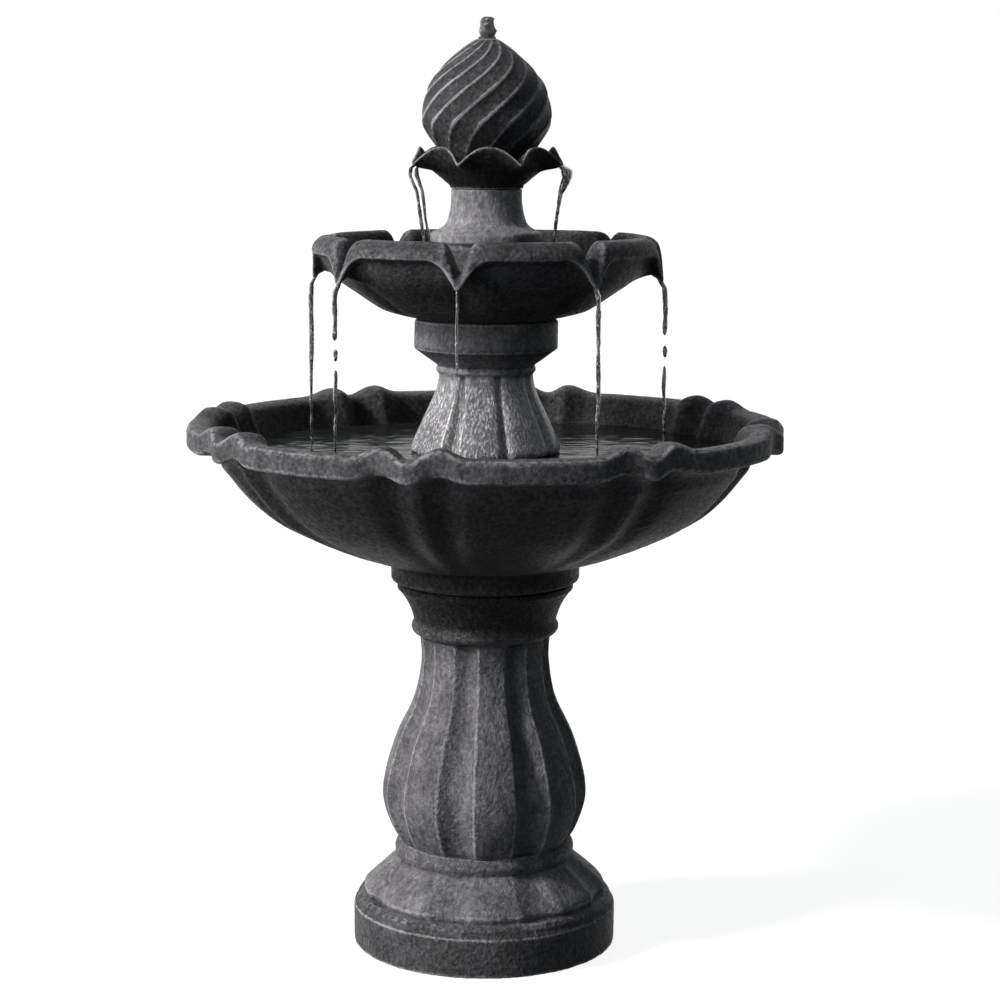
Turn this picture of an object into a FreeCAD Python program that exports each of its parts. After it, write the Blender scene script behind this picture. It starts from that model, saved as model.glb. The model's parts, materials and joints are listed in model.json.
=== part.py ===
import FreeCAD, Part

import math
import os
from collections import namedtuple

from FreeCAD import Vector

# Sizes are millimetres. The origin is the middle of the underside, +Z is up, the front is -Y.

# Shared
lobe_count = 8
contact_gap = 0.3
running_gap = 0.05
gasket_thickness = 2.0
gasket_inset = 3.0
bowl_gasket_width = 15.0
middle_gasket_width = 44.0
upper_gasket_width = 14.0

# Pedestal base
drum_radius = 131.0
drum_height = 40.0
drum_edge_round = 3.0
moulding_bottom_radius = 127.5
moulding_top_radius = 120.5
moulding_height = 9.5
moulding_bulge = 2.0
gadroon_foot_radius = 117.0
gadroon_belly_radius = 121.0
gadroon_belly_rise = 7.0
gadroon_middle_radius = 107.0
gadroon_middle_rise = 21.0
gadroon_top_radius = 88.5
gadroon_height = 37.0
gadroon_groove_depth = 6.5
base_bead_seat_radius = 84.0
base_bead_radius = 89.7
base_bead_height = 17.0
base_wall = 11.0
base_shoulder_step = 6.0
cord_notch_radius = 9.0

# Pedestal column
vase_foot_radius = 84.0
vase_swell_radius = 92.5
vase_swell_rise = 13.0
vase_belly_radius = 102.4
vase_belly_rise = 51.0
vase_shoulder_radius = 88.0
vase_shoulder_rise = 106.0
vase_taper_radius = 70.2
vase_taper_rise = 143.0
vase_neck_radius = 63.2
vase_neck_rise = 183.0
vase_top_radius = 64.6
vase_height = 209.0
flute_depth = 8.5
flute_width_degrees = 21.0
flute_azimuth = -61.5
column_wall = 9.0
spigot_radius = 64.0
spigot_length = 9.0
neck_bead_seat_radius = 67.5
neck_bead_radius = 72.7
neck_bead_height = 13.0
capital_neck_radius = 70.0
capital_flare_radius = 85.5
capital_flare_height = 32.0
capital_flare_sag = 2.0
capital_ring_radius = 87.0
capital_ring_height = 6.0
capital_plate_thickness = 13.0

# Lower bowl
bowl_foot_radius = 93.0
bowl_foot_height = 20.0
bowl_foot_round = 4.0
bowl_foot_ring_width = 30.0
bowl_floor_thickness = 14.0
bowl_foot_hollow_height = 24.0
bowl_floor_radius = 88.0
bowl_shoulder_radius = 258.0
bowl_shoulder_rise = 117.5
bowl_rim_overhang = 33.0
bowl_rim_underside_rise = 135.5
bowl_rim_top_rise = 157.5
bowl_rim_width = 26.0
bowl_wall = 10.0
bowl_cove_width = 14.0
bowl_cove_height = 7.0
bowl_edge_round = 4.0
bowl_seam_round = 2.0
rim_lobe_height = 9.0
rim_lobe_pinch = 7.0
rim_lobe_inner_pinch = 13.0
rim_lobe_spread_degrees = 5.0
rim_lobe_width_degrees = 5.8
rim_dip = 0.4
rim_azimuth = -103.4

# Middle column
plinth_radius = 64.0
plinth_height = 90.0
plinth_wall = 7.0
inlet_radius = 14.0
inlet_count = 4
bell_foot_radius = 71.5
bell_edge_radius = 73.5
bell_edge_rise = 5.0
bell_flare_radius = 64.7
bell_flare_rise = 25.0
bell_waist_radius = 48.4
bell_waist_rise = 61.0
bell_top_radius = 45.8
bell_height = 78.0
bell_groove_depth = 7.0
bell_groove_width_degrees = 13.0
bell_azimuth = -118.5
bell_bead_radius = 49.0
bell_bead_height = 6.5
bell_bead_seat_radius = 46.3
collar_radius = 70.0
collar_chamfer_height = 17.0
collar_height = 28.0
collar_plate_thickness = 12.0
collar_edge_round = 2.0

# Middle bowl
basin_foot_radius = 71.0
basin_lip_radius = 168.5
basin_lip_rise = 63.0
basin_crest_radius = 153.0
basin_crest_rise = 79.5
basin_wall = 9.0
basin_belly_radius = 161.0
basin_belly_rise = 59.0
basin_crease_depth = 4.5
basin_floor_radius = 66.0
basin_floor_thickness = 12.5
spout_radius = 172.5
spout_rise = 30.5
spout_channel_rise = 45.0
spout_hook_radius = 164.0
spout_hook_rise = 41.0
spout_keel_sag = 1.0
spout_lip_reach = 0.22
spout_notch_reach = 0.105
spout_lip_sharpness = 2.0
spout_notch_sharpness = 1.3
spout_azimuth = -98.5

# Upper column
stem_plinth_radius = 51.0
stem_ring_radius = 54.5
stem_ring_rise = 58.0
stem_ring_height = 13.0
stem_flare_radius = 39.5
stem_flare_rise = 78.0
stem_neck_radius = 34.4
stem_neck_rise = 102.0
stem_height = 111.5
stem_ring_round = 4.5
stem_ring_lift = 3.0
stem_fillet = 3.0
stem_bend = 1.2
stem_wall = 8.0
stem_plate_thickness = 9.0

# Upper bowl
cup_foot_radius = 34.5
cup_lip_radius = 66.0
cup_lip_rise = 35.0
cup_crest_radius = 64.0
cup_crest_rise = 38.5
cup_floor_radius = 36.0
cup_floor_thickness = 13.0
cup_spout_radius = 79.5
cup_spout_rise = 18.5
cup_edge_thickness = 2.2
cup_spout_thickness = 3.5
cup_petal_sharpness = 2.5
cup_azimuth = -110.0

# Finial
finial_foot_radius = 34.0
finial_neck_radius = 47.0
finial_neck_rise = 20.0
finial_low_radius = 62.0
finial_low_rise = 43.0
finial_belly_radius = 64.0
finial_belly_rise = 57.0
finial_shoulder_radius = 60.0
finial_shoulder_rise = 77.5
finial_high_radius = 49.5
finial_high_rise = 95.0
finial_crown_radius = 33.5
finial_crown_rise = 111.0
finial_cap_radius = 17.5
finial_cap_rise = 123.0
finial_top_radius = 10.0
finial_height = 127.0
finial_bore_clearance = 1.0
finial_mouth_clearance = 3.0
finial_mouth_height = 9.0
finial_seat_thickness = 12.0
rib_count = 14
rib_depth = 2.6
rib_twist_per_mm = 0.5
rib_twist_gain = 0.0045
rib_sharpness = 3.0
rib_azimuth = -101.5

# Riser tube and nozzle
tube_bore_radius = 5.0
tube_outer_radius = 7.0
tube_end_below_top = 34.0
nozzle_radius = 6.0
nozzle_bore_radius = 3.0
nozzle_flange_radius = 8.5
nozzle_flange_height = 2.0
nozzle_tip_height = 4.0
nozzle_spigot_length = 16.0
clamp_width = 7.0
clamp_rise = 3.0
clamp_gap = 1.0
clamp_thickness = 1.6
clamp_ear_length = 6.0

# Hollow studs that clamp each bowl to what it stands on
bowl_stud_radius = 14.5
bowl_stud_bore_radius = 8.0
tier_stud_radius = 12.0
tier_stud_bore_radius = 9.4
stud_flange_overlap = 5.0
stud_flange_height = 3.5
stud_washer_thickness = 1.5
ring_nut_overlap = 8.0
ring_nut_height = 8.0
stud_tail = 3.0
grommet_lip_overlap = 2.6
grommet_lip_height = 2.0
stopper_lip_radius = 11.0
stopper_lip_height = 2.5
stopper_length = 16.0
cord_hole_radius = 2.8

# Pump, with its outlet on the fountain's axis and its impeller along Y
pump_width = 44.0
pump_height = 44.0
pump_corner_round = 5.0
motor_depth = 36.0
volute_depth = 16.0
volute_face_thickness = 2.5
chamber_radius = 15.0
intake_radius = 8.0
spoke_height = 2.4
boss_radius = 4.6
strainer_depth = 18.0
strainer_wall = 2.0
slot_width = 3.0
slot_height = 26.0
slot_pitch = 6.0
well_radius = 10.0
well_depth = 27.0
shaft_radius = 1.2
bush_radius = 2.6
bush_length = 3.0
impeller_radius = 13.0
impeller_disc_thickness = 2.0
impeller_clearance = 1.0
vane_count = 6
vane_thickness = 1.6
vane_height = 7.0
hub_radius = 3.6
o_ring_radius = 17.5
o_ring_section = 1.0
o_ring_clearance = 0.1
screw_radius = 1.4
screw_head_radius = 2.6
screw_head_height = 2.0
screw_slot_width = 0.7
screw_grip = 12.0
outlet_collar_radius = 9.5
outlet_collar_height = 4.0
outlet_spigot_length = 16.0
outlet_bore_radius = 3.4
foot_height = 12.0
foot_stem_radius = 3.0
foot_stem_length = 5.0
foot_cup_radius = 6.0
foot_cup_depth = 4.5
foot_cup_thickness = 1.2
foot_spacing = 34.0
foot_inset = 6.0
dial_radius = 8.0
dial_thickness = 3.0
dial_grip_width = 2.4
dial_grip_height = 3.0
dial_pin_radius = 2.0
dial_head_radius = 3.4
dial_head_thickness = 1.2
gland_radius = 6.5
gland_length = 9.0
gland_socket_depth = 6.0

# Heights of the seats, from the ground up
gadroon_z = drum_height + moulding_height
base_top_z = gadroon_z + gadroon_height + base_bead_height
vase_top_z = base_top_z + vase_height
capital_z = vase_top_z + neck_bead_height
column_top_z = capital_z + capital_flare_height + capital_ring_height
bowl_z = column_top_z + gasket_thickness
foot_hollow_z = bowl_z + bowl_foot_hollow_height
bowl_floor_z = foot_hollow_z + bowl_floor_thickness
bell_z = bowl_floor_z + plinth_height
bell_top_z = bell_z + bell_height
collar_z = bell_top_z + bell_bead_height + collar_chamfer_height
collar_top_z = collar_z + collar_height
basin_z = collar_top_z + gasket_thickness
basin_floor_z = basin_z + basin_floor_thickness
stem_top_z = basin_floor_z + stem_height
cup_z = stem_top_z + gasket_thickness
cup_floor_z = cup_z + cup_floor_thickness
finial_top_z = cup_floor_z + finial_height
pump_z = bowl_floor_z + foot_height
shaft_z = pump_z + pump_height / 2
tube_z = pump_z + pump_height + outlet_collar_height
tube_top_z = finial_top_z - tube_end_below_top

# The rim stands out from the shoulder below it
bowl_rim_radius = bowl_shoulder_radius + bowl_rim_overhang

# Places along the pump
volute_front = -volute_depth / 2
motor_front = volute_depth / 2
motor_back = motor_front + motor_depth
strainer_front = volute_front - strainer_depth

ORIGIN = Vector(0, 0, 0)
UP = Vector(0, 0, 1)
BACK = Vector(0, 1, 0)
FULL_TURN = 360.0

# A ring of a lobed surface: where the lobe is full, the ring moves out by swing and up by rise.
Ring = namedtuple("Ring", "radius height swing rise lobe twist", defaults=(0.0, 0.0, None, 0.0))


def side(point):
    """A radius and a height as a point in the XZ plane."""
    return Vector(point[0], 0, point[1])


def lines(*points):
    """Straight edges of a turned outline."""
    return [Part.makeLine(side(a), side(b)) for a, b in zip(points, points[1:])]


def arc(start, through, end):
    """One round edge of a turned outline."""
    return [Part.Arc(side(start), side(through), side(end)).toShape()]


def curve(points):
    """One smooth edge of a turned outline."""
    spline = Part.BSplineCurve()
    spline.interpolate([side(point) for point in points])
    return [spline.toShape()]


def round_corner(before, corner, after, radius):
    """A quarter round between an upright and a level edge: start, middle and end."""
    towards = lambda p: (math.copysign(radius, p[0] - corner[0]) if p[0] != corner[0] else 0.0,
                         math.copysign(radius, p[1] - corner[1]) if p[1] != corner[1] else 0.0)
    first = towards(before)
    last = towards(after)
    near = 1 - math.sqrt(0.5)
    start = (corner[0] + first[0], corner[1] + first[1])
    end = (corner[0] + last[0], corner[1] + last[1])
    middle = (corner[0] + (first[0] + last[0]) * near, corner[1] + (first[1] + last[1]) * near)
    return start, middle, end


def turned_faces(edges):
    """Faces that a chain of outline edges sweeps around the axis."""
    return [edge.revolve(ORIGIN, UP, FULL_TURN) for edge in edges]


def turned(*points):
    """A turned solid from the corners of its half section."""
    wire = Part.Wire(lines(*points, points[0]))
    return Part.Face(wire).revolve(ORIGIN, UP, FULL_TURN)


def washer(inner, outer, bottom, top):
    """A flat ring around the axis."""
    return turned((inner, bottom), (outer, bottom), (outer, top), (inner, top))


def rod(radius, start, length, direction=BACK):
    """A round bar, by default along the pump."""
    return Part.makeCylinder(radius, length, start, direction)


def box(width, depth, height, x, y, z):
    """A block from its sizes, its middle in X, and its lowest Y and Z."""
    return Part.makeBox(width, depth, height, Vector(x - width / 2, y, z))


def phase_list(count, creases, crease_gap):
    """Even steps over one lobe from -0.5 to 0.5, with a close pair beside each crease."""
    steps = [i / count - 0.5 for i in range(count)]
    kept = [s for s in steps if all(abs(s - c) > 1.5 * crease_gap for c in creases)]
    pairs = [c + side_gap for c in creases for side_gap in (-crease_gap, crease_gap)]
    return sorted(kept + pairs)


def columns(count, azimuth, phases):
    """Angle and phase of each column of points around a lobed surface."""
    pitch = FULL_TURN / count
    return [(azimuth + pitch * (k + phase), phase) for k in range(count) for phase in phases]


def ring_points(ring, around):
    """The points of one ring of a lobed surface."""
    points = []
    for angle, phase in around:
        amount = ring.lobe(phase) if ring.lobe else 0.0
        radius = ring.radius + ring.swing * amount
        turn = math.radians(angle + ring.twist)
        height = ring.height + ring.rise * amount
        points.append(Vector(radius * math.cos(turn), radius * math.sin(turn), height))
    return points


def blend(p0, p1, p2, p3, t):
    """A point between p1 and p2 on the smooth curve through all four."""
    a = p1 * 2
    b = (p2 - p0) * t
    c = (p0 * 2 - p1 * 5 + p2 * 4 - p3) * (t * t)
    d = (p1 * 3 - p0 - p2 * 3 + p3) * (t * t * t)
    return (a + b + c + d) * 0.5


def smoothed(rings, steps=3):
    """The given point rings with steps - 1 more between each two, on smooth curves."""
    padded = [rings[0]] + rings + [rings[-1]]
    result = []
    for i in range(1, len(padded) - 2):
        for step in range(steps):
            four = zip(padded[i - 1], padded[i], padded[i + 1], padded[i + 2])
            result.append([blend(*points, step / steps) for points in four])
    result.append(rings[-1])
    return result


def band(rings):
    """A smooth face around the axis through rings of points."""
    degree = min(3, len(rings) - 1)
    around = len(rings[0])
    spans = len(rings) - degree
    poles = [[ring[j] for ring in rings] for j in range(around)]
    ends = [degree + 1] + [1] * (spans - 1) + [degree + 1]
    surface = Part.BSplineSurface()
    surface.buildFromPolesMultsKnots(
        poles, [1] * (around + 1), ends, list(range(around + 1)), list(range(spans + 1)),
        True, False, 3, degree)
    return surface.toShape()


def ring_wire(points):
    """The closed curve at the end of a band."""
    spline = Part.BSplineCurve()
    count = len(points)
    spline.buildFromPolesMultsKnots(points, [1] * (count + 1), list(range(count + 1)), True, 3)
    return Part.Wire(spline.toShape())


def circle_wire(radius, height):
    """A level circle around the axis."""
    return Part.Wire(Part.makeCircle(radius, Vector(0, 0, height)))


def flat_ring(outer, inner):
    """A level face between two closed curves."""
    return Part.makeFace([outer, inner], "Part::FaceMakerBullseye")


def closed_solid(faces):
    """The solid inside a set of faces that meet edge to edge."""
    skin = Part.makeCompound(faces)
    skin.sewShape()
    body = Part.makeSolid(skin.Shells[0])
    if body.Volume < 0:
        body.reverse()
    return body


def along(start, end, shares):
    """Points between two, each given as a share of the way out and a share of the way up."""
    reach = end[0] - start[0]
    climb = end[1] - start[1]
    return [(start[0] + reach * out, start[1] + climb * up) for out, up in shares]


def flute(phase):
    """One concave flute with crisp edges, 1 at its middle."""
    half = flute_width_degrees * lobe_count / FULL_TURN / 2
    return max(0.0, 1 - (phase / half) ** 2)


def bell_groove(phase):
    """One narrow groove of the bell, 1 at its middle."""
    half = bell_groove_width_degrees * lobe_count / FULL_TURN / 2
    reach = min(1.0, abs(phase) / half)
    return (1 + math.cos(math.pi * reach)) / 2


def rim_lobe(phase):
    """A pair of raised lobes with a slight dip between them."""
    spread = rim_lobe_spread_degrees * lobe_count / FULL_TURN
    half = rim_lobe_width_degrees * lobe_count / FULL_TURN
    bump = lambda middle: (1 + math.cos(math.pi * min(1.0, abs(phase - middle) / half))) / 2
    return bump(-spread) + bump(spread) - rim_dip * bump(0.0)


def spout_wide(phase):
    """The spout as the outer lip bends down to it."""
    reach = max(0.0, 1 - abs(phase) / spout_lip_reach)
    return reach ** spout_lip_sharpness


def spout_narrow(phase):
    """The spout as a steep notch in the crest."""
    reach = max(0.0, 1 - abs(phase) / spout_notch_reach)
    return reach ** spout_notch_sharpness


def cup_spout(phase):
    """The point between two arched petals of the cup."""
    return (1 - abs(phase) / 0.5) ** cup_petal_sharpness


def rib_edge(phase):
    """1 on a rib's sharp edge, falling to 0 in the hollow between two ribs."""
    return (1 - abs(phase) / 0.5) ** rib_sharpness


def flute_columns():
    """Columns of points for the pedestal, close together at the flutes' edges."""
    half = flute_width_degrees * lobe_count / FULL_TURN / 2
    return columns(lobe_count, flute_azimuth, phase_list(12, (-half, half), 0.01))


def pedestal_base():
    """Drum, moulding, gadroon foot and bead, hollow and open below."""
    around = flute_columns()
    groove = lambda radius, z, share: Ring(radius, z, -gadroon_groove_depth * share, 0.0, flute)
    rings = [
        groove(gadroon_foot_radius, gadroon_z, 0.5),
        groove(gadroon_belly_radius, gadroon_z + gadroon_belly_rise, 0.9),
        groove(gadroon_middle_radius, gadroon_z + gadroon_middle_rise, 1.0),
        groove(gadroon_top_radius, gadroon_z + gadroon_height, 0.4),
    ]
    points = smoothed([ring_points(ring, around) for ring in rings])
    bead_z = gadroon_z + gadroon_height
    bead = arc((base_bead_seat_radius, bead_z),
               (base_bead_radius, bead_z + base_bead_height / 2),
               (base_bead_seat_radius, base_top_z))
    start, middle, end = round_corner(
        (drum_radius, 0), (drum_radius, drum_height), (0, drum_height), drum_edge_round)
    moulding_middle = ((moulding_bottom_radius + moulding_top_radius) / 2 + moulding_bulge,
                       drum_height + moulding_height / 2 + moulding_bulge)
    outside = (
        lines((drum_radius, 0), start) + arc(start, middle, end)
        + lines(end, (moulding_bottom_radius, drum_height))
        + arc((moulding_bottom_radius, drum_height), moulding_middle,
              (moulding_top_radius, gadroon_z)))
    socket = spigot_radius + contact_gap
    inside = lines(
        (base_bead_seat_radius, base_top_z), (socket, base_top_z),
        (socket, base_top_z - spigot_length),
        (gadroon_top_radius - gadroon_groove_depth - base_wall, bead_z - base_wall),
        (drum_radius - base_wall - base_shoulder_step, drum_height),
        (drum_radius - base_wall, drum_height - base_wall),
        (drum_radius - base_wall, 0), (drum_radius, 0))
    faces = turned_faces(outside + bead + inside)
    faces.append(flat_ring(circle_wire(moulding_top_radius, gadroon_z), ring_wire(points[0])))
    faces.append(band(points))
    faces.append(flat_ring(ring_wire(points[-1]), circle_wire(base_bead_seat_radius, bead_z)))
    notch = rod(cord_notch_radius, Vector(0, drum_radius - 3 * base_wall, 0), 4 * base_wall)
    return closed_solid(faces).cut(notch)


def vase_rings():
    """Rings of the fluted vase, from its foot to its neck bead."""
    outline = [
        (vase_foot_radius, 0.0),
        (vase_swell_radius, vase_swell_rise),
        (vase_belly_radius, vase_belly_rise),
        (vase_shoulder_radius, vase_shoulder_rise),
        (vase_taper_radius, vase_taper_rise),
        (vase_neck_radius, vase_neck_rise),
        (vase_top_radius, vase_height),
    ]
    depth = lambda radius: flute_depth * radius / vase_belly_radius
    return [Ring(r, base_top_z + z, -depth(r), 0.0, flute) for r, z in outline]


def pedestal_column():
    """Fluted vase, neck bead and capital, hollow, with a plate on top."""
    around = flute_columns()
    rings = vase_rings()
    points = smoothed([ring_points(ring, around) for ring in rings])
    bead = arc((neck_bead_seat_radius, vase_top_z),
               (neck_bead_radius, vase_top_z + neck_bead_height / 2),
               (capital_neck_radius, capital_z))
    flare_end = (capital_flare_radius, capital_z + capital_flare_height)
    flare_middle = ((capital_neck_radius + capital_flare_radius) / 2 - capital_flare_sag,
                    capital_z + capital_flare_height / 2 + capital_flare_sag / 2)
    ring_bottom = (capital_ring_radius, flare_end[1])
    ring_round = capital_ring_radius - capital_flare_radius
    start, middle, end = round_corner(
        ring_bottom, (capital_ring_radius, column_top_z), (0, column_top_z), ring_round)
    capital = (arc((capital_neck_radius, capital_z), flare_middle, flare_end)
               + lines(flare_end, ring_bottom, start) + arc(start, middle, end))
    hole = bowl_stud_radius + contact_gap
    wall = flute_depth + column_wall
    neck_hollow = vase_neck_radius - wall
    plate_z = column_top_z - capital_plate_thickness
    spigot_z = base_top_z - spigot_length
    spigot_bore = spigot_radius - column_wall
    hollow = [(ring.radius - wall, ring.height) for ring in rings[1:-1]]
    inside = (
        lines(end, (hole, column_top_z), (hole, plate_z), (neck_hollow, plate_z), hollow[-1])
        + curve(list(reversed(hollow)))
        + lines(hollow[0], (spigot_bore, base_top_z), (spigot_bore, spigot_z),
                (spigot_radius, spigot_z), (spigot_radius, base_top_z)))
    faces = turned_faces(bead + capital + inside)
    faces.append(band(points))
    faces.append(flat_ring(ring_wire(points[0]), circle_wire(spigot_radius, base_top_z)))
    faces.append(flat_ring(circle_wire(neck_bead_seat_radius, vase_top_z), ring_wire(points[-1])))
    return closed_solid(faces)


def lower_bowl():
    """Wide bowl on a foot ring; its wall and rim are pinched at eight pairs of lobes."""
    spread = rim_lobe_spread_degrees * lobe_count / FULL_TURN
    around = columns(lobe_count, rim_azimuth, phase_list(24, (-spread, 0.0, spread), 0.02))
    belly = [(0.0, 0.0), (0.17, 0.07), (0.41, 0.225), (0.685, 0.455), (0.85, 0.69), (0.965, 0.93),
             (1.0, 1.0)]
    outer_share = [0.0, 0.1, 0.5, 0.9, 1.0, 1.0, 1.0]
    inner_share = [0.0, 0.1, 0.45, 0.85, 1.0, 1.0, 1.0]

    def outer(point, pinched, lifted):
        return Ring(point[0], point[1], -rim_lobe_pinch * pinched, rim_lobe_height * lifted, rim_lobe)

    def inner(point, pinched, lifted):
        return Ring(point[0], point[1], -rim_lobe_inner_pinch * pinched, rim_lobe_height * lifted, rim_lobe)

    foot_top = (bowl_foot_radius, bowl_z + bowl_foot_height)
    shoulder = (bowl_shoulder_radius, bowl_z + bowl_shoulder_rise)
    underside = [outer(p, k, 0.15 * k) for p, k in zip(along(foot_top, shoulder, belly), outer_share)]
    soffit_z = bowl_z + bowl_rim_underside_rise
    crest_z = bowl_z + bowl_rim_top_rise
    edge = bowl_rim_radius - bowl_edge_round
    cove = (bowl_shoulder_radius + bowl_cove_width, soffit_z - bowl_edge_round / 4)
    soffit = [
        underside[-1],
        outer((shoulder[0] + bowl_cove_width / 3, soffit_z - bowl_cove_height), 0.9, 0.4),
        outer(cove, 0.8, 0.6),
        outer((edge, soffit_z), 0.75, 0.7),
    ]
    rim_inner = bowl_rim_radius - bowl_rim_width
    fascia = [
        soffit[-1],
        outer((bowl_rim_radius, soffit_z + bowl_edge_round / 2), 0.75, 0.75),
        outer((bowl_rim_radius, (soffit_z + crest_z) / 2), 0.75, 0.85),
        outer((bowl_rim_radius, crest_z - bowl_edge_round), 0.75, 0.95),
        outer((edge, crest_z), 0.8, 1.0),
        outer(((edge + rim_inner) / 2, crest_z), 1.1, 1.05),
        inner((rim_inner, crest_z - bowl_edge_round), 0.8, 1.0),
        inner((rim_inner - bowl_edge_round, crest_z - 3 * bowl_edge_round), 1.0, 0.6),
    ]
    floor_edge = (bowl_floor_radius, bowl_floor_z)
    wall_top = (bowl_shoulder_radius - bowl_wall, shoulder[1])
    wall = [inner(p, k, 0.1 * k) for p, k in zip(along(floor_edge, wall_top, belly), inner_share)]
    inside = [fascia[-1]] + list(reversed(wall))
    bands = [smoothed([ring_points(ring, around) for ring in rings])
             for rings in (underside, soffit, fascia, inside)]
    hole = bowl_stud_radius + contact_gap
    hollow = bowl_foot_radius - bowl_foot_ring_width
    seam = bowl_foot_radius - bowl_seam_round
    low = (bowl_foot_radius - bowl_foot_round, bowl_z)
    high = (bowl_foot_radius, bowl_z + bowl_foot_round)
    near = bowl_foot_round * (1 - math.sqrt(0.5))
    foot = (lines((seam, foot_top[1]), (bowl_foot_radius, foot_top[1] - bowl_seam_round), high)
            + arc(high, (bowl_foot_radius - near, bowl_z + near), low)
            + lines(low, (hollow, bowl_z), (hollow, foot_hollow_z), (hole, foot_hollow_z),
                    (hole, bowl_floor_z)))
    faces = turned_faces(foot)
    faces += [band(points) for points in bands]
    faces.append(flat_ring(ring_wire(bands[0][0]), circle_wire(seam, foot_top[1])))
    faces.append(flat_ring(ring_wire(bands[-1][-1]), circle_wire(hole, bowl_floor_z)))
    return closed_solid(faces)


def middle_column():
    """Plinth with water inlets, grooved bell, bead and round collar; hollow around the pump."""
    half = bell_groove_width_degrees * lobe_count / FULL_TURN / 2
    around = columns(lobe_count, bell_azimuth, phase_list(16, (-half, 0.0, half), 0.03))
    outline = [
        (bell_foot_radius, 0.0, 0.8),
        (bell_edge_radius, bell_edge_rise, 1.0),
        (bell_flare_radius, bell_flare_rise, 1.0),
        (bell_waist_radius, bell_waist_rise, 0.6),
        (bell_top_radius, bell_height, 0.4),
    ]
    rings = [Ring(r, bell_z + z, -bell_groove_depth * k, 0.0, bell_groove) for r, z, k in outline]
    points = smoothed([ring_points(ring, around) for ring in rings])
    bead_top = bell_top_z + bell_bead_height
    bead = arc((bell_bead_seat_radius, bell_top_z), (bell_bead_radius, bell_top_z + bell_bead_height / 2),
               (bell_bead_seat_radius, bead_top))
    start, middle, end = round_corner(
        (collar_radius, 0), (collar_radius, collar_top_z), (0, collar_top_z), collar_edge_round)
    collar = (lines((bell_bead_seat_radius, bead_top), (collar_radius, collar_z), start)
              + arc(start, middle, end))
    hole = tier_stud_radius + contact_gap
    plate_z = collar_top_z - collar_plate_thickness
    bore = plinth_radius - plinth_wall
    wall = bell_groove_depth + plinth_wall
    inside = lines(
        end, (hole, collar_top_z), (hole, plate_z), (collar_radius - plinth_wall, plate_z),
        (collar_radius - plinth_wall, collar_z), (bell_top_radius - wall, bell_top_z),
        (bell_waist_radius - wall, bell_z + bell_waist_rise),
        (bell_flare_radius - wall, bell_z + bell_flare_rise),
        (bore, bell_z - plinth_wall), (bore, bowl_floor_z), (plinth_radius, bowl_floor_z),
        (plinth_radius, bell_z))
    faces = turned_faces(bead + collar + inside)
    faces.append(band(points))
    faces.append(flat_ring(ring_wire(points[0]), circle_wire(plinth_radius, bell_z)))
    faces.append(flat_ring(circle_wire(bell_bead_seat_radius, bell_top_z), ring_wire(points[-1])))
    body = closed_solid(faces)
    for k in range(inlet_count):
        turn = math.radians(FULL_TURN * k / inlet_count)
        outward = Vector(math.cos(turn), math.sin(turn), 0)
        start = outward * (plinth_radius - 2 * plinth_wall) + Vector(0, 0, bowl_floor_z)
        body = body.cut(rod(inlet_radius, start, 3 * plinth_wall, outward))
    return body


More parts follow.
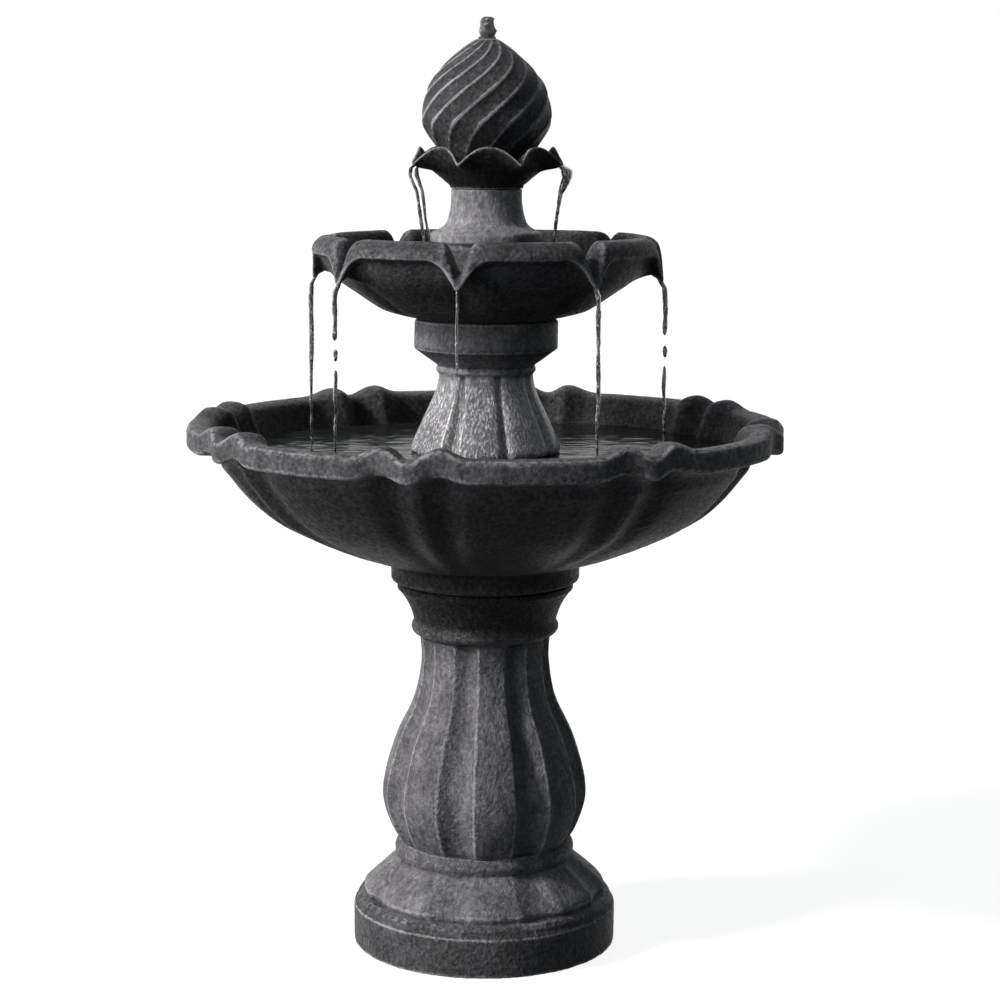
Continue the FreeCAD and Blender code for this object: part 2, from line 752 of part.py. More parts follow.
def middle_bowl():
    """Eight petals with rolled lips; between each two a spout pours over a V-shaped channel."""
    creases = (-spout_lip_reach, -spout_notch_reach, 0.0, spout_notch_reach, spout_lip_reach)
    around = columns(lobe_count, spout_azimuth, phase_list(20, creases, 0.014))
    foot = (basin_foot_radius, basin_z)
    belly = (basin_belly_radius, basin_z + basin_belly_rise)
    lip = (basin_lip_radius, basin_z + basin_lip_rise)
    crest = (basin_crest_radius, basin_z + basin_crest_rise)
    tip = (spout_radius, basin_z + spout_rise)
    channel_z = basin_z + spout_channel_rise

    def pulled(point, target, lobe):
        return Ring(point[0], point[1], target[0] - point[0], target[1] - point[1], lobe)

    shape = [(0.0, 0.0), (0.27, 0.1), (0.42, 0.21), (0.61, 0.41), (0.77, 0.57), (0.9, 0.76), (1.0, 1.0)]
    spots = along(foot, belly, shape)
    hook = (spout_hook_radius, basin_z + spout_hook_rise)
    shares = (0.0, 0.6, 1.0, 1.0, 0.8)
    keel = [(r - basin_crease_depth * k, z) for (r, z), k in zip(spots, shares)]
    keel += [(spots[5][0], hook[1] - spout_keel_sag), hook]
    underside = [pulled(p, q, spout_wide) for p, q in zip(spots, keel)]
    soffit = [underside[-1], pulled(lip, tip, spout_wide)]
    face = along(lip, crest, [(-0.03, 0.24), (0.1, 0.55), (0.5, 0.9)])
    over = along(tip, (crest[0], channel_z), [(-0.03, 0.24), (0.12, 0.6), (0.5, 0.95)])
    shoulders = (spout_wide, spout_narrow, spout_narrow)
    rolled = [soffit[-1]] + [pulled(p, q, lobe) for p, q, lobe in zip(face, over, shoulders)]
    rolled.append(pulled(crest, (crest[0], channel_z), spout_narrow))
    floor_edge = (basin_floor_radius, basin_floor_z)
    wall_top = (crest[0] - basin_wall, crest[1] - basin_wall)
    inner_shape = [(1.0, 1.0), (0.93, 0.73), (0.77, 0.42), (0.52, 0.17), (0.24, 0.04), (0.0, 0.0)]
    wall = along(floor_edge, wall_top, inner_shape)
    shoulder = along(crest, wall_top, [(0.55, 0.3)])
    sunk = [(r, min(z, channel_z - sag)) for (r, z), sag in zip(shoulder + wall, (0, 0, 1, 6, 0, 0, 0))]
    inside = [rolled[-1]] + [pulled(p, q, spout_narrow) for p, q in zip(shoulder + wall, sunk)]
    bands = [smoothed([ring_points(ring, around) for ring in rings])
             for rings in (underside, soffit, rolled, inside)]
    hole = tier_stud_radius + contact_gap
    faces = turned_faces(lines((hole, basin_floor_z), (hole, basin_z)))
    faces += [band(points) for points in bands]
    faces.append(flat_ring(ring_wire(bands[0][0]), circle_wire(hole, basin_z)))
    faces.append(flat_ring(ring_wire(bands[-1][-1]), circle_wire(hole, basin_floor_z)))
    return closed_solid(faces)


def upper_column():
    """Short stem with a ring foot, hollow, with a plate on top."""
    ring_z = basin_floor_z + stem_ring_rise
    ring_top = ring_z + stem_ring_height
    flare = (stem_flare_radius, basin_floor_z + stem_flare_rise)
    neck = (stem_neck_radius, basin_floor_z + stem_neck_rise)
    hole = tier_stud_radius + contact_gap
    plate_z = stem_top_z - stem_plate_thickness
    bore = stem_plinth_radius - stem_wall
    near = stem_ring_round * (1 - math.sqrt(0.5))
    round_start = (stem_ring_radius, ring_top - stem_ring_round)
    round_end = (stem_ring_radius - stem_ring_round, ring_top)
    edges = lines((bore, basin_floor_z), (stem_plinth_radius, basin_floor_z),
                  (stem_plinth_radius, ring_z), (stem_ring_radius, ring_z + stem_ring_lift), round_start)
    edges += arc(round_start, (stem_ring_radius - near, ring_top - near), round_end)
    edges += lines(round_end, (stem_flare_radius + stem_fillet, flare[1] - stem_fillet), flare)
    bend = ((flare[0] + neck[0]) / 2 - stem_bend, (flare[1] + neck[1]) / 2)
    edges += arc(flare, bend, neck)
    edges += lines(neck, (stem_neck_radius, stem_top_z), (hole, stem_top_z), (hole, plate_z),
                   (stem_neck_radius - stem_wall, plate_z),
                   (stem_neck_radius - stem_wall, flare[1]), (bore, ring_z), (bore, basin_floor_z))
    return Part.Face(Part.Wire(edges)).revolve(ORIGIN, UP, FULL_TURN)


def upper_bowl():
    """Cup of eight arched petals that meet in pointed spouts."""
    around = columns(lobe_count, cup_azimuth, phase_list(14, (0.0,), 0.02))
    foot = (cup_foot_radius, cup_z)
    lip = (cup_lip_radius, cup_z + cup_lip_rise)
    crest = (cup_crest_radius, cup_z + cup_crest_rise)
    tip = (cup_spout_radius, cup_z + cup_spout_rise)
    reach = tip[0] - lip[0]
    drop = tip[1] - lip[1]
    shape = [(0.0, 0.0), (0.24, 0.18), (0.49, 0.37), (0.72, 0.54), (0.9, 0.76), (1.0, 1.0)]
    pull = [0.0, 0.0, 0.03, 0.2, 0.6, 1.0]
    underside = [Ring(p[0], p[1], reach * k, drop * k, cup_spout)
                 for p, k in zip(along(foot, lip, shape), pull)]
    edge = [
        underside[-1],
        Ring(lip[0], lip[1] + cup_edge_thickness, reach, drop, cup_spout),
        Ring(crest[0], crest[1], reach, tip[1] + cup_spout_thickness - crest[1], cup_spout),
    ]
    floor_edge = (cup_floor_radius, cup_floor_z)
    inner_shape = [(0.86, 0.83), (0.72, 0.5), (0.45, 0.2), (0.15, 0.03), (0.0, 0.0)]
    inner_points = along(floor_edge, crest, inner_shape)
    inside = [edge[-1]]
    spread = [(reach * 0.66, drop * 0.6), (reach * 0.2, drop * 0.12), (0.0, 0.0), (0.0, 0.0), (0.0, 0.0)]
    inside += [Ring(p[0], p[1], out, up, cup_spout) for p, (out, up) in zip(inner_points, spread)]
    bands = [smoothed([ring_points(ring, around) for ring in rings])
             for rings in (underside, edge, inside)]
    hole = tier_stud_radius + contact_gap
    faces = turned_faces(lines((hole, cup_floor_z), (hole, cup_z)))
    faces += [band(points) for points in bands]
    faces.append(flat_ring(ring_wire(bands[0][0]), circle_wire(hole, cup_z)))
    faces.append(flat_ring(ring_wire(bands[-1][-1]), circle_wire(hole, cup_floor_z)))
    return closed_solid(faces)


def finial():
    """Onion with spiral ribs, a bore around the riser tube and a hole for the nozzle on top."""
    around = columns(rib_count, rib_azimuth, phase_list(8, (0.0,), 0.06))
    outline = [
        (finial_foot_radius, 0.0, 0.3),
        (finial_neck_radius, finial_neck_rise, 0.8),
        (finial_low_radius, finial_low_rise, 1.0),
        (finial_belly_radius, finial_belly_rise, 1.0),
        (finial_shoulder_radius, finial_shoulder_rise, 1.0),
        (finial_high_radius, finial_high_rise, 0.9),
        (finial_crown_radius, finial_crown_rise, 0.7),
        (finial_cap_radius, finial_cap_rise, 0.4),
        (finial_top_radius, finial_height, 0.1),
    ]
    twist = lambda z: (rib_twist_per_mm + rib_twist_gain * z) * z
    rings = [Ring(r, cup_floor_z + z, -rib_depth * k, 0.0, lambda phase: 1 - rib_edge(phase), twist(z))
             for r, z, k in outline]
    points = smoothed([ring_points(ring, around) for ring in rings])
    hole = nozzle_radius + contact_gap
    seat_z = finial_top_z - finial_seat_thickness
    bore = tube_outer_radius + finial_bore_clearance
    mouth = tier_stud_radius + stud_flange_overlap + finial_mouth_clearance
    mouth_z = cup_floor_z + finial_mouth_height
    inside = lines((hole, finial_top_z), (hole, seat_z), (bore, seat_z), (bore, mouth_z),
                   (mouth, mouth_z), (mouth, cup_floor_z))
    faces = turned_faces(inside)
    faces.append(band(points))
    faces.append(flat_ring(ring_wire(points[0]), circle_wire(mouth, cup_floor_z)))
    faces.append(flat_ring(ring_wire(points[-1]), circle_wire(hole, finial_top_z)))
    return closed_solid(faces)


def bubbler_nozzle():
    """Flanged outlet in the finial's top, with a spigot inside the riser tube."""
    spigot = tube_bore_radius - contact_gap
    shoulder_z = tube_top_z + contact_gap
    spigot_z = shoulder_z - nozzle_spigot_length
    flange_top = finial_top_z + nozzle_flange_height
    tip_z = flange_top + nozzle_tip_height
    return turned(
        (nozzle_bore_radius, spigot_z), (spigot, spigot_z), (spigot, shoulder_z),
        (nozzle_radius, shoulder_z), (nozzle_radius, finial_top_z),
        (nozzle_flange_radius, finial_top_z), (nozzle_flange_radius, flange_top),
        (nozzle_radius, flange_top), (nozzle_radius, tip_z), (nozzle_bore_radius, tip_z))


def gasket(hole, width, seat_z):
    """A flat rubber ring on the top of a column, around the hole in what stands on it."""
    inner = hole + gasket_inset
    return washer(inner, inner + width, seat_z, seat_z + gasket_thickness)


def stud(radius, bore, floor_z, plate_z):
    """A hollow stud: a flange above a bowl's floor, a tail below the plate that it clamps."""
    flange_z = floor_z + stud_washer_thickness
    flange_top = flange_z + stud_flange_height
    flange = radius + stud_flange_overlap
    tail_z = plate_z - ring_nut_height - stud_tail
    return turned((bore, tail_z), (radius, tail_z), (radius, flange_z), (flange, flange_z),
                  (flange, flange_top), (bore, flange_top))


def stud_washer(radius, floor_z):
    """The rubber washer under a stud's flange."""
    return washer(radius + contact_gap, radius + stud_flange_overlap, floor_z,
                  floor_z + stud_washer_thickness)


def ring_nut(radius, plate_z):
    """A six-sided nut with a round hole, against the underside of a plate."""
    outer = radius + ring_nut_overlap
    corners = [Vector(outer * math.cos(math.radians(60 * k)), outer * math.sin(math.radians(60 * k)),
                      plate_z - ring_nut_height) for k in range(7)]
    block = Part.Face(Part.makePolygon(corners)).extrude(UP * ring_nut_height)
    hole = Part.makeCylinder(radius + contact_gap, ring_nut_height, Vector(0, 0, corners[0].z))
    return block.cut(hole)


def grommet(bore, floor_z):
    """Rubber seal between a tier's stud and the riser tube."""
    top = floor_z + stud_washer_thickness + stud_flange_height
    inner = tube_outer_radius + contact_gap
    outer = bore - contact_gap
    low = top - 3 * stud_flange_height
    return turned((inner, low), (outer, low), (outer, top), (outer + grommet_lip_overlap, top),
                  (outer + grommet_lip_overlap, top + grommet_lip_height),
                  (inner, top + grommet_lip_height))


def cord_stopper():
    """Rubber plug in the lower bowl's stud, with the hole for a cord."""
    top = bowl_floor_z + stud_washer_thickness + stud_flange_height
    low = top - stopper_length
    plug = bowl_stud_bore_radius - contact_gap
    return turned((cord_hole_radius, low), (plug, low), (plug, top), (stopper_lip_radius, top),
                  (stopper_lip_radius, top + stopper_lip_height),
                  (cord_hole_radius, top + stopper_lip_height))


def rounded_block(front, depth):
    """A block of the pump's width and height with round long edges."""
    block = box(pump_width, depth, pump_height, 0, front, pump_z)
    long_edges = [e for e in block.Edges if abs(abs(e.tangentAt(0).y) - 1) < 1e-6]
    return block.makeFillet(pump_corner_round, long_edges)


def screw_places(y):
    """Where screws hold the volute, at the middles of the pump's four round corners."""
    x = pump_width / 2 - pump_corner_round
    z = pump_height / 2 - pump_corner_round
    return [Vector(sx * x, y, shaft_z + sz * z) for sx in (-1, 1) for sz in (-1, 1)]


def pump_housing():
    """Motor block with the rotor's well, screw holes and the cord's socket."""
    body = rounded_block(motor_front, motor_depth)
    body = body.cut(rod(well_radius, Vector(0, motor_front, shaft_z), well_depth))
    bush_y = motor_front + well_depth
    body = body.cut(rod(bush_radius + contact_gap / 2, Vector(0, bush_y, shaft_z), bush_length))
    for place in screw_places(motor_front):
        body = body.cut(rod(screw_radius + contact_gap / 2, place, screw_grip))
    socket_y = motor_back - gland_socket_depth
    return body.cut(rod(cord_hole_radius, Vector(0, socket_y, shaft_z), gland_socket_depth))


def pump_volute():
    """Impeller chamber with an intake in its face, an outlet on top and a seal groove."""
    body = rounded_block(volute_front, volute_depth)
    top = pump_z + pump_height
    spigot = tube_bore_radius - contact_gap / 2
    body = body.fuse(Part.makeCylinder(outlet_collar_radius, outlet_collar_height, Vector(0, 0, top)))
    spigot_height = outlet_collar_height + outlet_spigot_length
    body = body.fuse(Part.makeCylinder(spigot, spigot_height, Vector(0, 0, top)))
    chamber_y = volute_front + volute_face_thickness
    body = body.cut(rod(chamber_radius, Vector(0, chamber_y, shaft_z), volute_depth))
    intake = rod(intake_radius, Vector(0, volute_front, shaft_z), volute_face_thickness)
    spoke = box(2 * intake_radius, volute_face_thickness, spoke_height, 0, volute_front,
                shaft_z - spoke_height / 2)
    boss = rod(boss_radius, Vector(0, volute_front, shaft_z), volute_face_thickness)
    pocket = rod(bush_radius + contact_gap / 2, Vector(0, volute_front, shaft_z), volute_face_thickness)
    body = body.cut(intake.cut(spoke.fuse(boss))).cut(pocket)
    body = body.cut(Part.makeCylinder(outlet_bore_radius, 2 * pump_height, Vector(0, 0, shaft_z)))
    groove_depth = 2 * (o_ring_section + o_ring_clearance)
    groove_half = o_ring_section + o_ring_clearance
    groove_start = Vector(0, motor_front - groove_depth, shaft_z)
    outer = rod(o_ring_radius + groove_half, groove_start, groove_depth)
    inner = rod(o_ring_radius - groove_half, groove_start, groove_depth)
    body = body.cut(outer.cut(inner))
    for place in screw_places(volute_front):
        body = body.cut(rod(screw_radius + contact_gap / 2, place, volute_depth))
    return body


def volute_o_ring():
    """Rubber ring in the volute's groove."""
    middle = Vector(0, motor_front - o_ring_section - o_ring_clearance, shaft_z)
    return Part.makeTorus(o_ring_radius, o_ring_section, middle, BACK)


def volute_screws():
    """Four pan-head screws from the volute's face into the motor block."""
    screws = []
    for place in screw_places(volute_front):
        shank = rod(screw_radius, place, volute_depth + screw_grip - contact_gap)
        head = rod(screw_head_radius, place - BACK * screw_head_height, screw_head_height)
        slot = box(2 * screw_head_radius, screw_head_height / 2, screw_slot_width, place.x,
                   place.y - screw_head_height, place.z - screw_slot_width / 2)
        screws.append(shank.fuse(head).cut(slot))
    return Part.makeCompound(screws)


def pump_strainer():
    """Slotted intake cover over the volute's face, with the dial's hole."""
    body = rounded_block(strainer_front, strainer_depth)
    inner_width = pump_width - 2 * strainer_wall
    inner_height = pump_height - 2 * strainer_wall
    hollow = box(inner_width, strainer_depth - strainer_wall, inner_height, 0,
                 strainer_front + strainer_wall, pump_z + strainer_wall)
    long_edges = [e for e in hollow.Edges if abs(abs(e.tangentAt(0).y) - 1) < 1e-6]
    body = body.cut(hollow.makeFillet(pump_corner_round - strainer_wall, long_edges))
    first = dial_radius + slot_width
    for side_sign in (-1, 1):
        for k in range(2):
            x = side_sign * (first + k * slot_pitch)
            body = body.cut(box(slot_width, strainer_wall, slot_height, x, strainer_front,
                                shaft_z - slot_height / 2))
    for k in range(3):
        y = strainer_front + 2 * strainer_wall + k * (strainer_depth - 3 * strainer_wall) / 3
        body = body.cut(box(2 * pump_width, slot_width, slot_height, 0, y, shaft_z - slot_height / 2))
    return body.cut(rod(dial_pin_radius + running_gap, Vector(0, strainer_front, shaft_z), strainer_wall))


def flow_dial():
    """Disc with a grip bar, turning on a headed pin through the strainer's face."""
    face_y = strainer_front - contact_gap
    disc = rod(dial_radius, Vector(0, face_y - dial_thickness, shaft_z), dial_thickness)
    grip_half = dial_radius - dial_grip_width / 2
    grip = box(dial_grip_width, dial_grip_height, 2 * grip_half, 0,
               face_y - dial_thickness - dial_grip_height, shaft_z - grip_half)
    pin_length = 2 * contact_gap + strainer_wall + dial_head_thickness
    pin = rod(dial_pin_radius, Vector(0, face_y, shaft_z), pin_length)
    head_y = strainer_front + strainer_wall + contact_gap
    head = rod(dial_head_radius, Vector(0, head_y, shaft_z), dial_head_thickness)
    return disc.fuse([grip, pin, head])


def impeller_magnet():
    """The rotor's magnet, on the shaft in the motor's well."""
    start = Vector(0, motor_front - impeller_clearance, shaft_z)
    length = well_depth - impeller_clearance
    body = rod(well_radius - 2 * contact_gap, start, length)
    return body.cut(rod(shaft_radius + running_gap, start, length))


def impeller_vanes():
    """Disc, hub and straight vanes in front of the magnet."""
    disc_y = motor_front - impeller_clearance - impeller_disc_thickness
    start = Vector(0, disc_y - vane_height, shaft_z)
    body = rod(impeller_radius, Vector(0, disc_y, shaft_z), impeller_disc_thickness)
    body = body.fuse(rod(hub_radius, start, vane_height))
    for k in range(vane_count):
        vane = box(vane_thickness, vane_height, impeller_radius - vane_thickness / 2, 0, start.y, shaft_z)
        vane.rotate(Vector(0, 0, shaft_z), BACK, FULL_TURN * k / vane_count)
        body = body.fuse(vane)
    length = vane_height + impeller_disc_thickness
    return body.cut(rod(shaft_radius + running_gap, start, length))


def shaft_ends():
    """Where the impeller's shaft begins and ends."""
    return volute_front, motor_front + well_depth + bush_length


def impeller_shaft():
    """Ceramic pin through the rotor, held in a bush at each end."""
    front, back = shaft_ends()
    return rod(shaft_radius, Vector(0, front, shaft_z), back - front)


def shaft_bushes():
    """A rubber bush for each end of the shaft."""
    front, back = shaft_ends()
    bushes = []
    for y, length in ((front, volute_face_thickness), (back - bush_length, bush_length)):
        outer = rod(bush_radius, Vector(0, y, shaft_z), length)
        bushes.append(outer.cut(rod(shaft_radius + running_gap, Vector(0, y, shaft_z), length)))
    return Part.makeCompound(bushes)


def pump_feet():
    """Four suction feet between the pump and the bowl's floor."""
    skirt = foot_cup_radius - foot_cup_thickness
    foot = turned((0, bowl_floor_z + foot_cup_depth), (skirt, bowl_floor_z),
                  (foot_cup_radius, bowl_floor_z), (foot_stem_radius, pump_z - foot_stem_length),
                  (foot_stem_radius, pump_z), (0, pump_z))
    feet = []
    for x in (-foot_spacing / 2, foot_spacing / 2):
        for y in (strainer_front + foot_inset, motor_back - foot_inset):
            feet.append(foot.translated(Vector(x, y, 0)))
    return Part.makeCompound(feet)


def cord_gland():
    """Six-sided cord inlet on the back of the motor block."""
    corners = [Vector(gland_radius * math.cos(math.radians(60 * k)), motor_back,
                      shaft_z + gland_radius * math.sin(math.radians(60 * k))) for k in range(7)]
    block = Part.Face(Part.makePolygon(corners)).extrude(BACK * gland_length)
    return block.cut(rod(cord_hole_radius, Vector(0, motor_back, shaft_z), gland_length))


def riser_tube():
    """Straight tube from the pump's outlet up to the nozzle."""
    return washer(tube_bore_radius, tube_outer_radius, tube_z, tube_top_z)


def tube_clamp():
    """Band around the foot of the tube with two ears at its back."""
    low = tube_z + clamp_rise
    inner = tube_outer_radius + contact_gap / 2
    body = washer(inner, inner + clamp_thickness, low, low + clamp_width)
    ear_reach = clamp_ear_length + clamp_thickness
    ears = box(2 * clamp_thickness + clamp_gap, ear_reach, clamp_width, 0, inner, low)
    gap = box(clamp_gap, ear_reach + clamp_thickness, clamp_width, 0, inner - clamp_thickness, low)
    return body.fuse(ears).cut(gap)


nodes = {
    "pedestal_base": pedestal_base(),
    "pedestal_column": pedestal_column(),
    "bowl_gasket": gasket(bowl_foot_radius - bowl_foot_ring_width, bowl_gasket_width, column_top_z),
    "lower_bowl": lower_bowl(),
    "bowl_nipple": stud(bowl_stud_radius, bowl_stud_bore_radius, bowl_floor_z,
                        column_top_z - capital_plate_thickness),
    "bowl_nipple_washer": stud_washer(bowl_stud_radius, bowl_floor_z),
    "bowl_ring_nut": ring_nut(bowl_stud_radius, column_top_z - capital_plate_thickness),
    "cord_stopper": cord_stopper(),
    "pump_housing": pump_housing(),
    "pump_volute": pump_volute(),
    "volute_o_ring": volute_o_ring(),
    "volute_screws": volute_screws(),
    "pump_strainer": pump_strainer(),
    "flow_dial": flow_dial(),
    "impeller_magnet": impeller_magnet(),
    "impeller_vanes": impeller_vanes(),
    "impeller_shaft": impeller_shaft(),
    "shaft_bushes": shaft_bushes(),
    "pump_feet": pump_feet(),
    "cord_gland": cord_gland(),
    "riser_tube": riser_tube(),
    "tube_clamp": tube_clamp(),
    "middle_column": middle_column(),
    "middle_gasket": gasket(tier_stud_radius, middle_gasket_width, collar_top_z),
    "middle_bowl": middle_bowl(),
    "middle_nipple": stud(tier_stud_radius, tier_stud_bore_radius, basin_floor_z,
                          collar_top_z - collar_plate_thickness),
    "middle_nipple_washer": stud_washer(tier_stud_radius, basin_floor_z),
    "middle_ring_nut": ring_nut(tier_stud_radius, collar_top_z - collar_plate_thickness),
    "middle_grommet": grommet(tier_stud_bore_radius, basin_floor_z),
    "upper_column": upper_column(),
    "upper_gasket": gasket(tier_stud_radius, upper_gasket_width, stem_top_z),
    "upper_bowl": upper_bowl(),
    "upper_nipple": stud(tier_stud_radius, tier_stud_bore_radius, cup_floor_z,
                         stem_top_z - stem_plate_thickness),
    "upper_nipple_washer": stud_washer(tier_stud_radius, cup_floor_z),
    "upper_ring_nut": ring_nut(tier_stud_radius, stem_top_z - stem_plate_thickness),
    "upper_grommet": grommet(tier_stud_bore_radius, cup_floor_z),
    "finial": finial(),
    "bubbler_nozzle": bubbler_nozzle(),
}

os.makedirs("parts", exist_ok=True)
for name, shape in nodes.items():
    shape.exportStep(f"parts/{name}.step")
    print(name, shape.isValid(), round(shape.Volume / 1000, 1), shape.BoundBox)
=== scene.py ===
import json
import math

import bmesh
import bpy
import numpy as np
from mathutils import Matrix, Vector


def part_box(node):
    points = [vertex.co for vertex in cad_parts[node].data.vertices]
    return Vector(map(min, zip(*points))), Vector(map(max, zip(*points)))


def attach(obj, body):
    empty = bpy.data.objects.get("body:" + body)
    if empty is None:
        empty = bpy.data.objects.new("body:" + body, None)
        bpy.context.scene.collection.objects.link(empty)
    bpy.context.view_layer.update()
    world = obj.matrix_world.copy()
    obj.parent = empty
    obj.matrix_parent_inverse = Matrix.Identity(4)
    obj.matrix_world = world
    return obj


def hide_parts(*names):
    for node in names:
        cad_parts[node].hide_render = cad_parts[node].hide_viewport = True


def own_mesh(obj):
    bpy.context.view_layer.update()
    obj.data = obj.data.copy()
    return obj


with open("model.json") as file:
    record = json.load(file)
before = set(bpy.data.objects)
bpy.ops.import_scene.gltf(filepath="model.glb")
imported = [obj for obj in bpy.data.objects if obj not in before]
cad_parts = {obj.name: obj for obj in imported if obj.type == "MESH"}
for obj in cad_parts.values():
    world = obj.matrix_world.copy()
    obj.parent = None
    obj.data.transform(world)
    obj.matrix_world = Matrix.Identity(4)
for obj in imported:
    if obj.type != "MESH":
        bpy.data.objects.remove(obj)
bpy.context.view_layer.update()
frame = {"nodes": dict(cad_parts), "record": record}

# Sizes are metres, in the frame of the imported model: +Z up, the viewer at -Y.

BODY_OF = {
    node: body
    for body, nodes in frame["record"]["behaviour"]["bodies"].items()
    for node in nodes
}
SLOT_OF = {entry["node"]: entry["material_slot"] for entry in frame["record"]["subparts"]}

# Cast pieces: the mesh size of each
CAST_MESH = {
    "pedestal_base": 0.0016,
    "pedestal_column": 0.0016,
    "lower_bowl": 0.0022,
    "middle_column": 0.0014,
    "middle_bowl": 0.0014,
    "upper_column": 0.0011,
    "upper_bowl": 0.0008,
    "finial": 0.0007,
}
# Shares of pale worn stone at heights of each cast piece; where the share is high, on the bell, the
# stone is wet and painted with glints
PALE_STONE = {
    "pedestal_base": ((0.0, 0.05), (0.047, 0.08), (0.053, 0.43), (0.086, 0.40), (0.092, 0.25)),
    "pedestal_column": ((0.105, 0.24), (0.17, 0.33), (0.285, 0.37), (0.312, 0.16), (0.33, 0.0)),
    "lower_bowl": ((0.365, 0.0), (0.485, 0.0), (0.505, 0.13)),
    "middle_column": ((0.495, 0.95), (0.555, 0.9), (0.58, 0.5), (0.595, 0.1), (0.60, 0.30)),
    "middle_bowl": ((0.62, 0.0), (0.71, 0.05)),
    "upper_column": ((0.690, 0.1), (0.696, 0.62), (0.76, 0.64)),
    "upper_bowl": ((0.75, 0.0), (0.79, 0.0)),
    "finial": ((0.76, 0.0), (0.86, 0.05)),
}
# Shares by which the stone is painted darker at heights of some pieces: painted shade on the pedestal's
# capital under the lower bowl and on the lower bowl's underside, damp and painted shade on the cup, a
# darker tone on the finial
SHADE_AND_DAMP_BY_HEIGHT = {
    "pedestal_column": ((0.309, 0.0), (0.314, 0.3), (0.326, 0.35), (0.33, 0.6), (0.365, 0.65)),
    "lower_bowl": ((0.365, 0.5), (0.47, 0.42), (0.50, 0.0)),
    "upper_bowl": ((0.75, 0.55), (0.795, 0.5)),
    "finial": ((0.76, 0.28), (0.90, 0.18)),
}
# Pieces with no painted darkening
UNDARKENED = ((0.0, 0.0),)
# Bowls are painted darker inside, where their surface faces the axis: damp, and painted shade
BOWLS = ("lower_bowl", "middle_bowl", "upper_bowl")
SHADE_AND_DAMP_INSIDE = 0.35
FACING_GAIN = 1.5
NEAR_AXIS = 1e-6
# How strongly the edges of each cast piece are worn pale
EDGE_WEAR = {
    "pedestal_base": 1.0,
    "pedestal_column": 1.35,
    "lower_bowl": 0.65,
    "middle_column": 0.8,
    "middle_bowl": 0.65,
    "upper_column": 0.8,
    "upper_bowl": 3.6,
    "finial": 1.9,
}
# How deep the grain of each cast piece is, against the pedestal's
GRAIN_DEPTH = {
    "pedestal_base": 0.9,
    "pedestal_column": 1.0,
    "lower_bowl": 0.4,
    "middle_column": 0.8,
    "middle_bowl": 0.45,
    "upper_column": 0.5,
    "upper_bowl": 0.5,
    "finial": 0.45,
}
# How wide the ridges and edges are that the material shows, and the least rounds of smoothing for each
RIDGE_REACH, RIDGE_ROUNDS = 0.0065, 6
EDGE_REACH, EDGE_ROUNDS = 0.0024, 2
RIDGE_UNIT = 0.001
EDGE_PERCENTILE = 97
LEAST_EDGE = 0.0001
SMOOTHING = 0.6
# Layers of unevenness on a cast surface: depth and lump size
UNEVEN = ((0.00030, 0.035), (0.00015, 0.014), (0.00012, 0.0055))
# Pits: depth, size and the noise they start at
PITS = (0.0003, 0.0038, 0.35)
CAST_SEED, CAST_SEED_STEP = 100, 20
# The foot of the cup hangs over the seam below it: its height, the seam's depth and its inner radius
CUP_FOOT = (0.751, 0.0018, 0.030)
CUP_FOOT_BAND = 0.0008

# Cast stone: sizes of its noises, its tones, and the depth and strength of its grain
PATCH_SIZE = 0.028
STREAK_SIZE = 0.006
GRAIN_SIZE = 0.0041
FINE_SIZE = 0.0017
TRICKLE_SIZE = 0.0021
STONE_TONES = ((0.045, 0.0425, 0.045), (0.115, 0.109, 0.114))
PALE_TONE = (0.485, 0.465, 0.485)
STONE_BUMP = (0.0032, 0.9)
# Most of a noise lies between these values
NOISE_LOW, NOISE_HIGH = 0.3, 0.7

# Whole numbers that scatter the cells of the noise lattice
CELL_FACTORS = (73856093, 19349663, 83492791)
SEED_FACTOR = 2654435761
SCATTER_FACTOR = 1274126177
SCATTER_RANGE = 0xFFFF

# Water levels, and how far each pool reaches into its wall
LOWER_LEVEL = 0.4935
MIDDLE_LEVEL = 0.6695
CUP_LEVEL = 0.7715
POOL_OVERLAP = 0.002
POOL_DEPTH = 0.005
TUBE_RADIUS = 0.0078
# Radii between what stands in the middle of each bowl and its wall, at the water level
LOWER_INNER, MIDDLE_INNER, CUP_INNER = 0.15, 0.08, 0.045
# Waves on a pool: height, size and seed. Rings around a drop: height, spacing and reach.
POOL_WAVES = ((0.0004, 0.03, 71), (0.0003, 0.012, 72))
DROP_HEIGHT, DROP_SPACING, DROP_REACH = 0.0005, 0.0032, 0.016

# Spouts of the middle bowl that pour: azimuth, radius of the stream, and its unbroken lengths
# as shares of its way
BOWL_SPOUTS = {
    "far_left": (171.5, 0.0023, [(0.0, 1.0)]),
    "left": (-143.5, 0.0023, [(0.0, 0.40), (0.44, 0.50), (0.54, 1.0)]),
    "front": (-98.5, 0.0011, [(0.0, 0.53)]),
    "right": (-53.5, 0.0023, [(0.0, 1.0)]),
    "far_right": (-8.5, 0.0023, [(0.0, 0.40), (0.45, 0.51), (0.55, 1.0)]),
}
BOWL_SEED, CUP_SEED, STREAM_SEED_STEP, LENGTH_SEED_STEP = 300, 600, 40, 10
# The way over a spout of the middle bowl: distance to the axis and height against the water level
BOWL_WAY = ((0.148, 0.001), (0.160, 0.0), (0.1685, -0.005), (0.1735, -0.014), (0.1745, -0.028))
BOWL_FALL = 0.1745
# A bowl stream keeps its radius to this share of its way, and then thins
THINNING_FROM, THINNING = 0.4, 0.85
# Places around the cup that pour: azimuth, reach, and how much thicker the stream is where it bends over
CUP_SPOUTS = {
    "left": (160.0, 0.0785, 0.0),
    "left_inner": (157.0, 0.0745, 0.0),
    "right": (-20.0, 0.0815, 0.0032),
}
